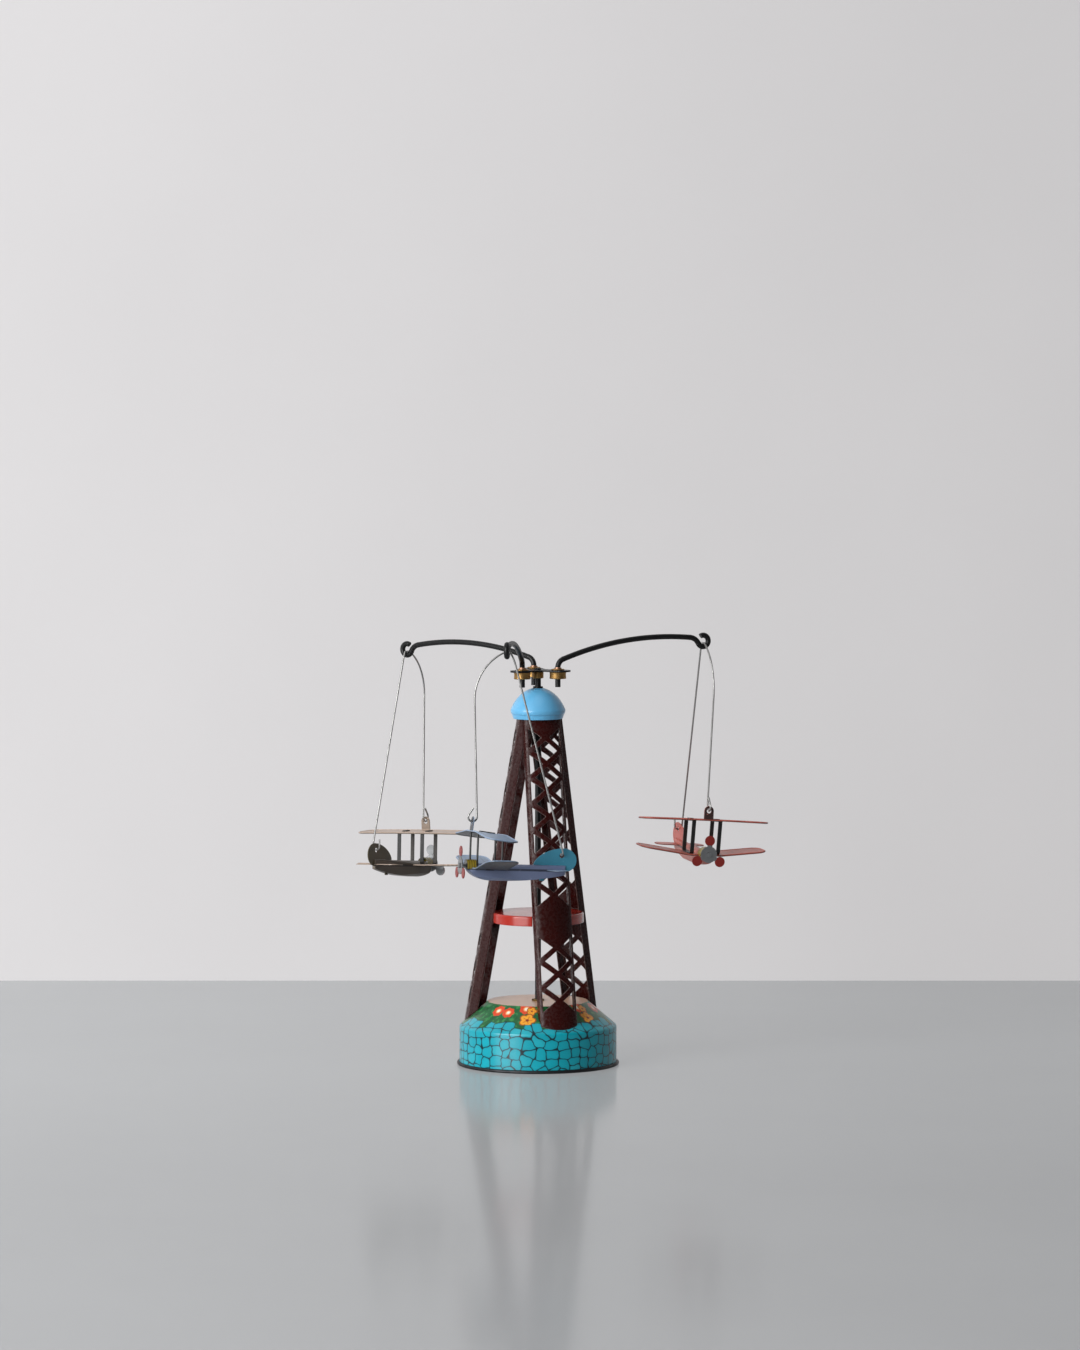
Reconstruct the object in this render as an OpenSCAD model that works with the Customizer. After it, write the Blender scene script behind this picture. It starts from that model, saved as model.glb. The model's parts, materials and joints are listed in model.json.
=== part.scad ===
// Tin airplane carousel: a lattice tower on a round base carries a rotor with three biplanes.
// Millimetres, Z up. The base rests on Z = 0 and the viewer stands on the -Y side.
// Lists of three are in the order red, tan, blue, which is the order of the arms.

/* [Base] */
// Radius of the base wall
base_r = 39.5; // [37:0.5:44]
// Height of the wall up to its shoulder
wall_h = 19; // [16:0.5:22]
// Radius of the rounded shoulder
shoulder_r = 1.5; // [1:0.1:2.5]
// Radius of the flat plateau
plateau_r = 25; // [22:0.5:28]
// Height of the plateau
plateau_z = 32; // [29:0.5:36]
// Width of the crimped rim outside the wall
rim_w = 1.3; // [1.1:0.1:2]
// Height of the crimped rim
rim_h = 1.7; // [1.6:0.1:2.5]
// Sheet of the base, tower and cap
sheet = 0.5; // [0.35:0.05:0.6]

/* [Tower] */
// Height of the top of the legs
tower_h = 176; // [165:1:190]
// Distance of a leg's foot inside the base wall
leg_inset = 5.5; // [4.5:0.1:7]
// Distance of a leg's web from the axis at the top
leg_top_r = 7.2; // [7.1:0.1:8]
// Width of a leg
leg_w = 19; // [16:0.5:19.5]
// Depth of a leg's folded flanges
flange = 4.4; // [3:0.1:4.6]
// How far the web bows outwards
web_bow = 3; // [1:0.1:3.4]
// Direction of the front leg
leg_turn = -72; // [-90:1:-50]
// Width of the lattice straps
strap = 2.6; // [1.6:0.1:3.2]
// Width of the rail left beside the lattice
rail = 1.3; // [1:0.1:2]
// Target pitch of the lattice crossings
lattice_pitch = 13.3; // [11:0.1:16]
// Height of the solid plate at a leg's foot
foot_plate = 10.8; // [9:0.1:16]
// Solid plate of a leg under the shelf
under_plate = 15.2; // [12:0.1:18]
// Solid plate of a leg above the shelf
over_plate = 10.2; // [8:0.1:14]
// Solid plate of a leg under the cap
top_plate = 11; // [8:0.5:16]

/* [Shelf] */
// Height of the shelf's top
shelf_z = 76.8; // [65:0.1:90]
// Radius of the shelf
shelf_r = 23; // [21:0.1:23.2]
// Depth of the shelf's rim
shelf_rim = 5; // [3:0.1:7]
// Radius of the shelf's rounded edge
shelf_round = 0.8; // [0.6:0.1:1.1]
// Width of the leg tabs that carry the shelf
shelf_tab_w = 8; // [5:0.5:10]
// Reach of those tabs under the shelf
shelf_tab = 4; // [3:0.5:6]

/* [Cap] */
// Largest radius of the dome
dome_r = 13.8; // [13.4:0.1:15]
// Height of the dome
dome_h = 13.5; // [11:0.1:16]
// Height of the dome's widest place above its edge
dome_belly = 2.2; // [1:0.1:4]
// How far the dome flares out at its widest place
dome_flare = 1.6; // [0.8:0.1:2]
// Height of the lip under the cap plate
lip_h = 1.7; // [1:0.1:3]
// Outer radius of the bearing tube
tube_r = 2.5; // [2.2:0.1:3.2]

/* [Rotor] */
// Diameter of the spindle
spindle_d = 3; // [2.4:0.1:3.4]
// Space between the dome and the spider plate
spider_gap = 8; // [7:0.5:10]
// Thickness of the spider plate
spider_t = 0.8; // [0.5:0.1:1.2]
// Distance of an eyelet from the axis
eyelet_r = 10.5; // [9.5:0.1:12]
// Outer diameter of an eyelet
eyelet_d = 8.5; // [7:0.1:9]
// Height of an eyelet under the plate
eyelet_h = 3.5; // [2.5:0.1:4.5]
// Distance of the spider's tips from the axis
spider_tip = 17; // [16:0.1:19]
// Direction of the first eyelet
eyelet_turn = -18.6; // [-40:0.1:0]

/* [Arms] */
// Diameter of the arm wire
arm_d = 2.7; // [2:0.1:2.8]
// Angle by which each arm trails its eyelet
arm_sweep = [43.5, 41, 43.5]; // [30:0.5:55]
// Climb of an arm where it leaves the eyelet
arm_climb = 19; // [14:0.5:24]
// Angle through which an arm arches
arm_arch = 24.5; // [18:0.5:28]
// Radius of that arch
arm_arc_r = 161; // [150:1:175]
// Extra climb of each arm as it is bent
arm_lift = [0, -4.6, 2]; // [-6:0.1:6]
// Radius of the bend above the eyelet
shank_bend = 4.5; // [4:0.1:6]
// Length of the shank under the eyelet
shank_out = 4.2; // [2:0.1:5]
// Radius of the dip before the eye
dip_r = 6; // [5:0.1:8]
// Radius of the eye's centre line
eye_r = 2.9; // [2.8:0.1:3.6]

/* [Hangers] */
// Diameter of the hanger wire
hang_d = 0.9; // [0.7:0.05:1]
// Radius of the hanger's two shoulders
hang_bend = 25; // [20:0.5:30]
// Angle of the kinks at the eye, towards the nose and towards the tail
hang_kink = [25, 60]; // [15:1:65]
// Half length of the straight that lies in the eye
bight = 1.8; // [1.6:0.1:3]
// Drop from the eye to the nose tab of each biplane
drop = [85.6, 89.6, 83.1]; // [60:0.1:110]
// Reach from the eye forward to the nose tab of each biplane
reach = [9.4, 17.4, 17.3]; // [8:0.1:24]
// Turn of each biplane away from square to its arm
yaw = [-6.7, 6.2, 19.2]; // [-20:0.1:22]
// Nose-up pitch of each biplane
pitch = [-2.5, -5.5, 3]; // [-10:0.1:10]
// Bank of each biplane, left wing up
bank = [-4.1, -2.4, 3.3]; // [-6:0.1:6]
// Radius of the nose hook
nose_hook = 2.2; // [1.8:0.1:2.6]
// Radius of the tail hook
tail_hook = 2; // [1.8:0.1:2.4]

/* [Biplane] */
// Sheet of the biplanes
tin = 0.45; // [0.3:0.05:0.5]
// Wing span
span = 67; // [50:1:80]
// Wing chord
chord = 16.5; // [15:0.5:19]
// Corner radius of the wing tips
tip_r = 5.5; // [3:0.5:7]
// Height of the upper wing above the lower wing
wing_gap = 17.2; // [14:0.1:20]
// Angle of the upper wing, front edge up
incidence = 6; // [0:0.5:8]
// Dihedral of each biplane's lower wing
dihedral = [7, 1, 11]; // [0.5:0.5:14]
// Droop of each biplane's upper wing towards its tips
tip_droop = [0.5, 0.5, 6]; // [0.5:0.5:8]
// Length of a strut frame
strut_len = 13; // [10:0.5:14]
// Distance between the two strut frames
strut_track = 14; // [12:0.5:16]
// Corner radius of a strut frame
strut_r = 1.6; // [0.8:0.1:2.5]
// Width of the strut strip
strut_w = 2; // [1.4:0.1:2.4]
// Thickness of the strut strip
strut_t = 0.5; // [0.4:0.05:0.6]
// Height of the nose tab's hole above the upper wing
tab_rise = 4.4; // [3.5:0.1:5.5]
// Diameter of the nose tab
tab_d = 5; // [4.5:0.1:6]
// Diameter of the holes for the hanger
hook_hole = 2.4; // [2.2:0.1:2.8]
// Width of the hull
hull_w = 8; // [7:0.1:9.5]
// Depth of the hull
hull_depth = 5.6; // [4:0.1:6.5]
// Length of the hull ahead of the wing's middle
nose_x = 10.2; // [9.8:0.1:12]
// Length of the hull behind the wing's middle
tail_x = 40; // [37:0.5:44]
// Radius of the bow's rise
bow_r = 16; // [14:0.5:18]
// Radius of the keel's long curve up to the tail
keel_r = 166; // [150:1:190]
// Distance of the keel's lowest place behind the bow's
keel_back = 4; // [3:0.5:6]
// Height of the turtle deck
deck_h = 2.6; // [2:0.1:3.2]
// Length of the fin
fin_len = 21.7; // [19:0.1:24]
// Height of the fin's top
fin_top = 11; // [10.4:0.1:13]
// Height of the hole in the fin
fin_hole_z = 7.5; // [7:0.1:8]
// Distance between the two hook holes along the biplane
hook_span = 45.7; // [45:0.1:47]
// Span of the tailplane
tailplane_span = 26; // [20:0.5:32]
// Chord of the tailplane
tailplane_chord = 9; // [6:0.5:9.5]
// Length of the cowl
cowl_len = 4.8; // [4:0.1:5.2]
// Width of the cowl
cowl_w = 7; // [6:0.1:7.4]
// Height of the cowl
cowl_h = 4.4; // [3.9:0.1:5]

/* [Propeller] */
// Height of the propeller's axis above the seam
prop_z = 1.3; // [1.2:0.1:1.8]
// Distance of the propeller from the cowl
prop_gap = 2.4; // [1.5:0.1:3.5]
// Radius of the hub disc
hub_r = 4.2; // [3.5:0.1:5]
// Radius of a lobe
lobe_r = 2.6; // [2:0.1:3]
// Distance of a lobe from the axis
lobe_at = 7; // [6.2:0.1:8]
// Diameter of the propeller pin
pin_d = 1.2; // [1:0.05:1.3]

/* [Clockwork] */
// Gear module
gear_m = 0.6; // [0.5:0.05:0.65]
// Teeth of the pinion
pinion_z = 12; // [12:2:14]
// Teeth of the main wheel
wheel_z = 48; // [44:4:48]
// Width of the main wheel
wheel_w = 1.2; // [0.8:0.1:1.6]
// Height of the main wheel's underside
wheel_at = 14; // [13.5:0.1:15]
// Height of the motor plate's underside
plate_at = 18.5; // [18:0.1:19]
// Radius of the motor plate
plate_r = 28; // [27:0.5:30]
// Diameter of a pillar
pillar_d = 3; // [2.4:0.1:4]
// Turns of the mainspring
spring_turns = 6; // [4:1:7]
// Thickness of the spring strip
spring_t = 0.5; // [0.3:0.05:0.6]
// Height of the spring strip
spring_h = 7; // [5:0.1:7.5]
// Outer radius of the mainspring
spring_r = 12.4; // [11.5:0.1:12.5]

/* [Clearances] */
// Radial clearance of shafts in their bearings
fit = 0.05; // [0.03:0.01:0.08]
// Clearance of fixed pieces in their holes and slots
slip = 0.1; // [0.05:0.01:0.15]
// End play of the moving pieces
play = 0.12; // [0.08:0.01:0.2]

/* [Hidden] */
$fn = 64;
planes = ["red", "tan", "blue"];
plane_parts = ["hull", "deck", "lower_wing", "upper_wing", "struts", "fin", "tailplane", "cowl",
    "propeller_pin", "propeller", "hanger", "arm"];
leg_names = ["leg_front", "leg_right", "leg_left"];

body_tint = ["#d9776a", "#5a4a38", "#7f8fb3"];
wing_tint = ["#e08a7c", "#d9bfa4", "#a9c4e4"];
fin_tint = ["#d9665c", "#4a4426", "#3d8fa8"];
brass = "#b08d4a";
oxblood = "#3a1c18";
steel = "#8c8c8c";
sky = "#7fc4ee";

function unit(a) = [cos(a), sin(a)];
function left_of(a) = [-sin(a), cos(a)];
function mirrored(p) = [-p.x, p.y];
// Angle on the circle (c, r) from which a wire crosses over to the far side of the circle (p, q)
function crossing(c, r, p, q = 0) = atan2(p.y - c.y, p.x - c.x) + acos((r + q) / norm(p - c));

// Heights and radii along the axis
floor_t = sheet + slip;
spindle_r = spindle_d / 2;
shoulder = [base_r - shoulder_r, wall_h];
cone_slope = 180 - atan2(plateau_z - wall_h - shoulder_r * 0.7, plateau_r - base_r + shoulder_r * 0.3);
leg_foot_r = base_r - leg_inset;
foot_z = plateau_z - (leg_foot_r - plateau_r) * tan(cone_slope);
lean = atan((leg_foot_r - leg_top_r) / (tower_h - foot_z));
dome_z = tower_h + sheet;
spider_z = dome_z + dome_h + spider_gap;
lip_r = norm([leg_top_r + lip_h * tan(lean), leg_w / 2]) + slip;
thrust_z = 2.2;
arbor_at = gear_m * (pinion_z + wheel_z) / 2;
lower_le = chord / 2 - 0.5;
cowl_back = nose_x - cowl_len;
tab_x = chord / 2 - tin / 2;
tab_point = [tab_x * cos(incidence) - (tin + tab_rise) * sin(incidence), 0,
    wing_gap + tab_x * sin(incidence) + (tin + tab_rise) * cos(incidence)];
fin_point = [tab_point.x - hook_span, 0, fin_hole_z];
prop_x = nose_x + prop_gap;
bight_z = -(eye_r - arm_d / 2 - hang_d / 2 - fit);

// The arm's centre line lies in a vertical plane, as [distance from the shank, height]
function climb(i) = arm_climb + arm_lift[i];
function fall(i) = climb(i) - arm_arch;
eye_dip = 58;
eye_end = 120;
hook_end = 35;
bend_at = [shank_bend, spider_z + spider_t + 1.2];
function arch_centre(i) = bend_at + 3 * unit(climb(i)) + (shank_bend - arm_arc_r) * left_of(climb(i));
function dip_centre(i) = arch_centre(i) + (arm_arc_r - dip_r) * left_of(fall(i));
function eye_centre(i) = dip_centre(i) + (dip_r + eye_r) * left_of(fall(i) - eye_dip);

// Where the hanger meets the biplane, as [forward, up] from the eye
function nose_at(i) = [reach[i], -drop[i]];
function tail_at(i) = nose_at(i)
    + (fin_point.x - tab_point.x) * unit(pitch[i]) + (fin_point.z - tab_point.z) * left_of(pitch[i]);

// Placing
module at_leg(i) rotate([0, 0, leg_turn + 120 * i]) children();
module on_leg(i) at_leg(i) translate([leg_foot_r, 0, foot_z]) rotate([0, -lean, 0]) children();
module at_arm(i) rotate([0, 0, eyelet_turn + 120 * i]) translate([eyelet_r, 0, 0])
    rotate([0, 0, arm_sweep[i]]) children();
module at_eye(i) at_arm(i) translate([eye_centre(i).x, 0, eye_centre(i).y])
    rotate([0, 0, yaw[i] - 90]) children();
module at_plane(i) at_eye(i) translate([nose_at(i).x, 0, nose_at(i).y]) rotate([0, -pitch[i], 0])
    rotate(bank[i], tab_point - fin_point) translate(-tab_point) children();

// Wire and sheet
// Lengths of wire stop a hair short of each other and a knuckle joins them
module wire_arc(c, r, from, to, d) {
    a = min(from, to) + 1 / r;
    b = max(from, to) - 1 / r;
    translate([c.x, 0, c.y]) rotate([90, 0, 0]) rotate([0, 0, a])
        rotate_extrude(angle = b - a) translate([r, 0]) circle(d = d);
}
module rod(p, q, d) translate(p)
    rotate([0, acos((q - p).z / norm(q - p)), atan2((q - p).y, (q - p).x)])
        cylinder(h = norm(q - p), d = d);
module flat_rod(p, q, d) rod([p.x, 0, p.y], [q.x, 0, q.y], d);
module knuckle(p, d) translate(p) sphere(d = d * 1.05);
module flat_knuckle(p, d) knuckle([p.x, 0, p.y], d);
module along_x(from, to, r) translate([from, 0, 0]) rotate([0, 90, 0]) cylinder(h = to - from, r = r);
module upright(t) rotate([90, 0, 0]) translate([0, 0, -t / 2]) linear_extrude(t) children();
module rounded(w, h, r) {
    translate([-w / 2, r - h / 2]) square([w, h - 2 * r]);
    translate([r - w / 2, -h / 2]) square([w - 2 * r, h]);
    for (x = [r - w / 2, w / 2 - r], y = [r - h / 2, h / 2 - r]) translate([x, y]) circle(r = r);
}
module ring(r, bore, h) difference() {
    cylinder(h = h, r = r);
    translate([0, 0, -1]) cylinder(h = h + 2, r = bore);
}

// Base
module base_form(inset) {
    half = cone_slope / 2;
    edge = [plateau_r - inset * tan(half), plateau_z - inset];
    from = shoulder + (shoulder_r - inset) * unit(90 - cone_slope);
    rotate_extrude() union() {
        square([base_r - inset, wall_h]);
        translate(shoulder) intersection() {
            circle(r = shoulder_r - inset);
            square(shoulder_r);
        }
        polygon([[0, wall_h - 1], [shoulder.x, wall_h - 1], shoulder, from, edge, [0, edge.y]]);
    }
}

module base_shell() color("#2f9fb3") difference() {
    union() {
        base_form(0);
        translate([0, 0, floor_t]) cylinder(h = sheet, r = base_r + rim_w - sheet - slip);
    }
    translate([0, 0, -0.01]) base_form(sheet);
    translate([0, 0, -1]) cylinder(h = 1 + floor_t, r = base_r + rim_w);
    translate([0, 0, plateau_z - sheet - 1]) cylinder(h = sheet + 2, r = spindle_r + 0.8 + slip);
}

module bottom_plate() color(steel) rotate_extrude() difference() {
    square([base_r + rim_w, rim_h]);
    translate([-1, sheet]) square([base_r + slip + 1, rim_h]);
    translate([-1, sheet]) square([base_r + rim_w - sheet + 1, sheet + 2 * slip]);
}

module base_bush() color(brass) translate([0, 0, plateau_z]) difference() {
    union() {
        cylinder(h = 0.8, r = spindle_r + 1.6);
        translate([0, 0, -sheet - 2]) cylinder(h = sheet + 2.5, r = spindle_r + 0.8);
    }
    translate([0, 0, -sheet - 3]) cylinder(h = sheet + 5, r = spindle_r + fit);
}

// Clockwork
function involute(rb, r) = sqrt(pow(r / rb, 2) - 1) * 180 / PI - acos(rb / r);
module gear(z, w) {
    rp = gear_m * z / 2;
    rb = rp * cos(25);
    root = rp - 1.1 * gear_m;
    tip = rp + 0.8 * gear_m;
    half = 90 / z - 0.12 / rp * 90 / PI + involute(rb, rp);
    low = max(rb, root) + 0.001;
    steps = [0:4];
    linear_extrude(w) union() {
        circle(r = root + 0.02);
        for (k = [0:z - 1]) rotate(360 * k / z) polygon(concat(
            [(root - 0.2) * unit(-half), for (s = steps) let (r = low + (tip - low) * s / 4)
                r * unit(involute(rb, r) - half)],
            [for (s = steps) let (r = tip - (tip - low) * s / 4) r * unit(half - involute(rb, r)),
                (root - 0.2) * unit(half)]));
    }
}

module motor_plate() color(steel) translate([0, 0, plate_at]) difference() {
    cylinder(h = 1, r = plate_r);
    translate([0, 0, -1]) cylinder(h = 3, r = spindle_r + fit);
    translate([-arbor_at, 0, -1]) cylinder(h = 3, r = spindle_r + fit);
    for (a = [0, 120, 240]) rotate(a) translate([plate_r - 4, 0, -1])
        cylinder(h = 3, d = pillar_d / 2 + slip);
}

module motor_pillars() color(steel) {
    for (a = [0, 120, 240]) rotate(a) translate([plate_r - 4, 0, sheet]) {
        cylinder(h = plate_at - sheet, d = pillar_d);
        cylinder(h = plate_at - sheet + 1.6, d = pillar_d / 2);
    }
    translate([-arbor_at, 0, sheet]) rotate(post_turn) translate([spring_r + 1.2 + slip, 0, 0])
        cylinder(h = spring_z + spring_h - sheet, r = 1.2);
}
spring_z = 4.6;
post_turn = 90;

module footstep_bearings() color(brass) for (x = [0, -arbor_at]) translate([x, 0, sheet]) difference() {
    cylinder(h = 3, r = spindle_r + 2);
    translate([0, 0, thrust_z - sheet]) cylinder(h = 3, r = spindle_r + fit);
}

module arbor() color(steel) translate([-arbor_at, 0, thrust_z + play])
    cylinder(h = plate_at + 2 - thrust_z, r = spindle_r);

module main_wheel() color(brass) translate([-arbor_at, 0, wheel_at]) difference() {
    union() {
        gear(wheel_z, wheel_w);
        translate([0, 0, -0.6]) cylinder(h = wheel_w + 1.6, r = spindle_r + 1.5);
    }
    translate([0, 0, -1]) cylinder(h = wheel_w + 3, r = spindle_r + 0.02);
    for (a = [0:60:300]) rotate(a) translate([8.2, 0, -1]) cylinder(h = wheel_w + 2, r = 2.4);
}

module mainspring() {
    inner = spindle_r + 0.6;
    steps = 22 * spring_turns;
    function at(k) = inner + (spring_r - spring_t - inner) * k / steps;
    function way(k) = post_turn - 360 * (steps - k) / 22;
    color("#5b6470") translate([-arbor_at, 0, spring_z]) linear_extrude(spring_h) polygon(concat(
        [for (k = [0:steps]) at(k) * unit(way(k))],
        [for (k = [steps:-1:0]) (at(k) + spring_t) * unit(way(k))]));
}

// Tower
module lattice(n, from, to) {
    p = (to - from) / n;
    h = leg_w / 2 - rail;
    rise = atan(p / 2 / h);
    up = strap / 2 / cos(rise);
    in = strap / 2 / sin(rise);
    rotate([90, 0, 90]) translate([0, 0, -flange]) linear_extrude(2 * flange + web_bow) {
        for (k = [0:n - 1]) translate([0, from + p * k]) polygon([[0, up], [h - in, p / 2], [0, p - up],
            [in - h, p / 2]]);
        for (k = [0:n], s = [-1, 1]) translate([0, from + p * k])
            polygon([[s * in, 0], [s * h, p / 2 - up], [s * h, up - p / 2]]);
    }
}

// A leg's folded section: the bowed web and, behind it, the space between the flanges
module leg_section(inset, back) {
    r = (pow(leg_w / 2, 2) + pow(web_bow, 2)) / 2 / web_bow;
    intersection() {
        translate([web_bow - r, 0]) circle(r = r - inset);
        translate([-back, inset - leg_w / 2]) square([back + web_bow, leg_w - 2 * inset]);
    }
}
function up_leg(z) = (z - foot_z) / cos(lean);
module leg_bar(i, inset, back) on_leg(i) translate([0, 0, -20])
    linear_extrude(25 + up_leg(tower_h)) leg_section(inset, back);

module leg(i) {
    low = [foot_z + foot_plate, shelf_z - under_plate];
    high = [shelf_z + over_plate, tower_h - top_plate];
    cells = [round((low[1] - low[0]) / lattice_pitch), round((high[1] - high[0]) / lattice_pitch)];
    color(oxblood) difference() {
        union() {
            difference() {
                leg_bar(i, 0, flange);
                leg_bar(i, sheet, flange + 1);
                on_leg(i) lattice(max(1, cells[0]), up_leg(low[0]), up_leg(low[1]));
                on_leg(i) lattice(max(1, cells[1]), up_leg(high[0]), up_leg(high[1]));
            }
            intersection() {
                leg_bar(i, sheet / 2, 3 * flange);
                at_leg(i) translate([shelf_r - shelf_tab, -shelf_tab_w / 2, shelf_z - 2 * sheet])
                    cube([shelf_tab + 10, shelf_tab_w, sheet]);
            }
        }
        translate([0, 0, 0.03]) base_form(0);
        translate([0, 0, -10]) cylinder(h = wall_h + 10, r = base_r + 5);
        translate([0, 0, tower_h]) cylinder(h = 20, r = base_r);
        // Each leg keeps to its own third of the tower
        at_leg(i) for (s = [-1, 1]) rotate([0, 0, 60 * s])
            translate([-base_r, (s - 1) / 2 * base_r - s * slip / 2, shelf_z])
                cube([2 * base_r, base_r, tower_h]);
    }
}

module shelf() color("#d2452c") difference() {
    translate([0, 0, shelf_z - shelf_rim]) rotate_extrude() union() {
        square([shelf_r, shelf_rim - shelf_round]);
        square([shelf_r - shelf_round, shelf_rim]);
        translate([shelf_r - shelf_round, shelf_rim - shelf_round]) circle(r = shelf_round);
    }
    translate([0, 0, shelf_z - shelf_rim - sheet]) cylinder(h = shelf_rim, r = shelf_r - sheet);
    translate([0, 0, shelf_z - sheet - 1]) cylinder(h = sheet + 2, r = spindle_r + 0.8);
    web_r = leg_foot_r - (shelf_z - foot_z) * tan(lean);
    deep = flange + 3 * slip;
    for (i = [0:2]) at_leg(i) {
        for (s = [-1, 1]) translate([web_r - deep, s * (leg_w / 2 - sheet / 2) - sheet / 2 - 2 * slip,
            shelf_z - shelf_rim - 1]) cube([2 * deep, sheet + 4 * slip, shelf_rim + 2]);
        translate([shelf_r - shelf_tab - 1, -shelf_tab_w / 2 - slip, shelf_z - shelf_rim - 1])
            cube([shelf_tab + 3, shelf_tab_w + 2 * slip, shelf_rim + 1 - sheet]);
    }
}

// Cap
module cap_plate() color(sky) translate([0, 0, tower_h]) difference() {
    union() {
        translate([0, 0, -lip_h]) cylinder(h = lip_h + sheet, r = lip_r + sheet);
        cylinder(h = sheet, r = dome_r - 0.7);
    }
    translate([0, 0, -lip_h - 1]) cylinder(h = lip_h + 1, r = lip_r);
    translate([0, 0, -1]) cylinder(h = sheet + 2, r = tube_r + slip);
}

module dome_form(inset) rotate_extrude() polygon(concat(
    [[0, 0], [dome_r - 0.8 - inset, 0]],
    [for (a = [0:6:90]) [
        (dome_r - dome_flare - inset) * pow(cos(a), 1.15) + dome_flare * pow(1 - sin(a), 3),
        dome_belly + (dome_h - dome_belly - inset) * sin(a)]]));

module dome() color(sky) translate([0, 0, dome_z]) difference() {
    dome_form(0);
    translate([0, 0, -0.01]) dome_form(sheet);
    cylinder(h = dome_h + 1, r = tube_r + slip);
}

module bearing_tube() color(brass) translate([0, 0, tower_h - 1]) difference() {
    union() {
        cylinder(h = dome_h + sheet + 1.4, r = tube_r);
        translate([0, 0, 1 + sheet]) cylinder(h = 0.8, r = tube_r + 3);
    }
    translate([0, 0, -1]) cylinder(h = dome_h + 5, r = spindle_r + fit);
}

// Rotor
module spindle() color("#2b2b2b") translate([0, 0, thrust_z + play]) {
    cylinder(h = spider_z + spider_t + 0.8 - thrust_z - play, r = spindle_r);
}

module pinion() color(brass) translate([0, 0, wheel_at - 0.8]) difference() {
    rotate(180 / pinion_z) gear(pinion_z, wheel_w + 1.6);
    translate([0, 0, -1]) cylinder(h = wheel_w + 4, r = spindle_r + 0.02);
}

module spider() color("#1d1d1f") translate([0, 0, spider_z]) linear_extrude(spider_t) difference() {
    union() {
        circle(r = 6);
        for (i = [0:2]) rotate(eyelet_turn + 120 * i) {
            translate([0, -4.5]) square([spider_tip - 4.5, 9]);
            translate([spider_tip - 4.5, 0]) circle(r = 4.5);
        }
    }
    circle(r = spindle_r + 0.02);
    for (i = [0:2]) rotate(eyelet_turn + 120 * i) translate([eyelet_r, 0]) circle(r = eyelet_d / 2 - 1.1);
}

module spider_hub() color(brass) translate([0, 0, spider_z - eyelet_h])
    ring(2.8, spindle_r + 0.02, eyelet_h);

module eyelets() color(brass) for (i = [0:2]) at_arm(i) translate([0, 0, spider_z]) difference() {
    union() {
        translate([0, 0, -eyelet_h]) cylinder(h = eyelet_h, d = eyelet_d);
        cylinder(h = spider_t, r = eyelet_d / 2 - 1.1 - slip);
        translate([0, 0, spider_t]) cylinder(h = 0.6, r = eyelet_d / 2 - 0.3);
    }
    translate([0, 0, -eyelet_h - 1]) cylinder(h = eyelet_h + 4, r = arm_d / 2 + fit);
}

module arm(i) color("#1b1b1d") at_arm(i) {
    a = climb(i);
    b = fall(i);
    bend_end = bend_at + shank_bend * left_of(a);
    translate([0, 0, spider_z - eyelet_h - shank_out])
        cylinder(h = bend_at.y - spider_z + eyelet_h + shank_out, d = arm_d);
    translate([0, 0, spider_z + spider_t + 0.6 + play]) cylinder(h = 0.6 - play, r = arm_d / 2 + 0.5);
    wire_arc(bend_at, shank_bend, 90 + a, 180, arm_d);
    flat_rod(bend_end, bend_end + 3 * unit(a), arm_d);
    for (p = [[0, bend_at.y], bend_end, bend_end + 3 * unit(a), arch_centre(i) + arm_arc_r * left_of(b),
        dip_centre(i) + dip_r * left_of(b - eye_dip)]) flat_knuckle(p, arm_d);
    wire_arc(arch_centre(i), arm_arc_r, 90 + b, 90 + a, arm_d);
    wire_arc(dip_centre(i), dip_r, 90 + b - eye_dip, 90 + b, arm_d);
    wire_arc(eye_centre(i), eye_r, b - eye_dip - 90, eye_end, arm_d);
}

module hanger(i) color("#9a9a98") at_eye(i) {
    fore = [bight, bight_z] - hang_bend * unit(90 - hang_kink[0]);
    aft = [bight, bight_z] - hang_bend * unit(90 - hang_kink[1]);
    hook = nose_at(i) + [0, nose_hook];
    f = crossing(fore, hang_bend, hook, nose_hook);
    hook_out = hook + nose_hook * unit(hook_end);
    flat_rod([-bight, bight_z], [bight, bight_z], hang_d);
    wire_arc(fore, hang_bend, f, 90 - hang_kink[0], hang_d);
    flat_rod(fore + hang_bend * unit(f), hook - nose_hook * unit(f), hang_d);
    wire_arc(hook, nose_hook, f + 180, 360 + hook_end, hang_d);
    flat_rod(hook_out, hook_out + 4 * unit(90 + hook_end), hang_d);

    tail = tail_at(i) + [0, tail_hook];
    t = 180 - crossing(aft, hang_bend, mirrored(tail));
    leave = mirrored(aft) + hang_bend * unit(t);
    wire_arc(mirrored(aft), hang_bend, 90 + hang_kink[1], t, hang_d);
    rod([leave.x, 0, leave.y], [tail.x, tail_hook, tail.y], hang_d);
    translate([tail.x, 0, 0]) rotate([0, 0, 90]) {
        wire_arc([0, tail.y], tail_hook, 180, 360, hang_d);
        flat_rod([-tail_hook, tail.y], [-tail_hook, tail.y + 3.5], hang_d);
        for (x = [-tail_hook, tail_hook]) flat_knuckle([x, tail.y], hang_d);
    }
    for (p = [[-bight, bight_z], [bight, bight_z], fore + hang_bend * unit(f), hook - nose_hook * unit(f),
        hook_out, leave]) flat_knuckle(p, hang_d);
}

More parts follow.
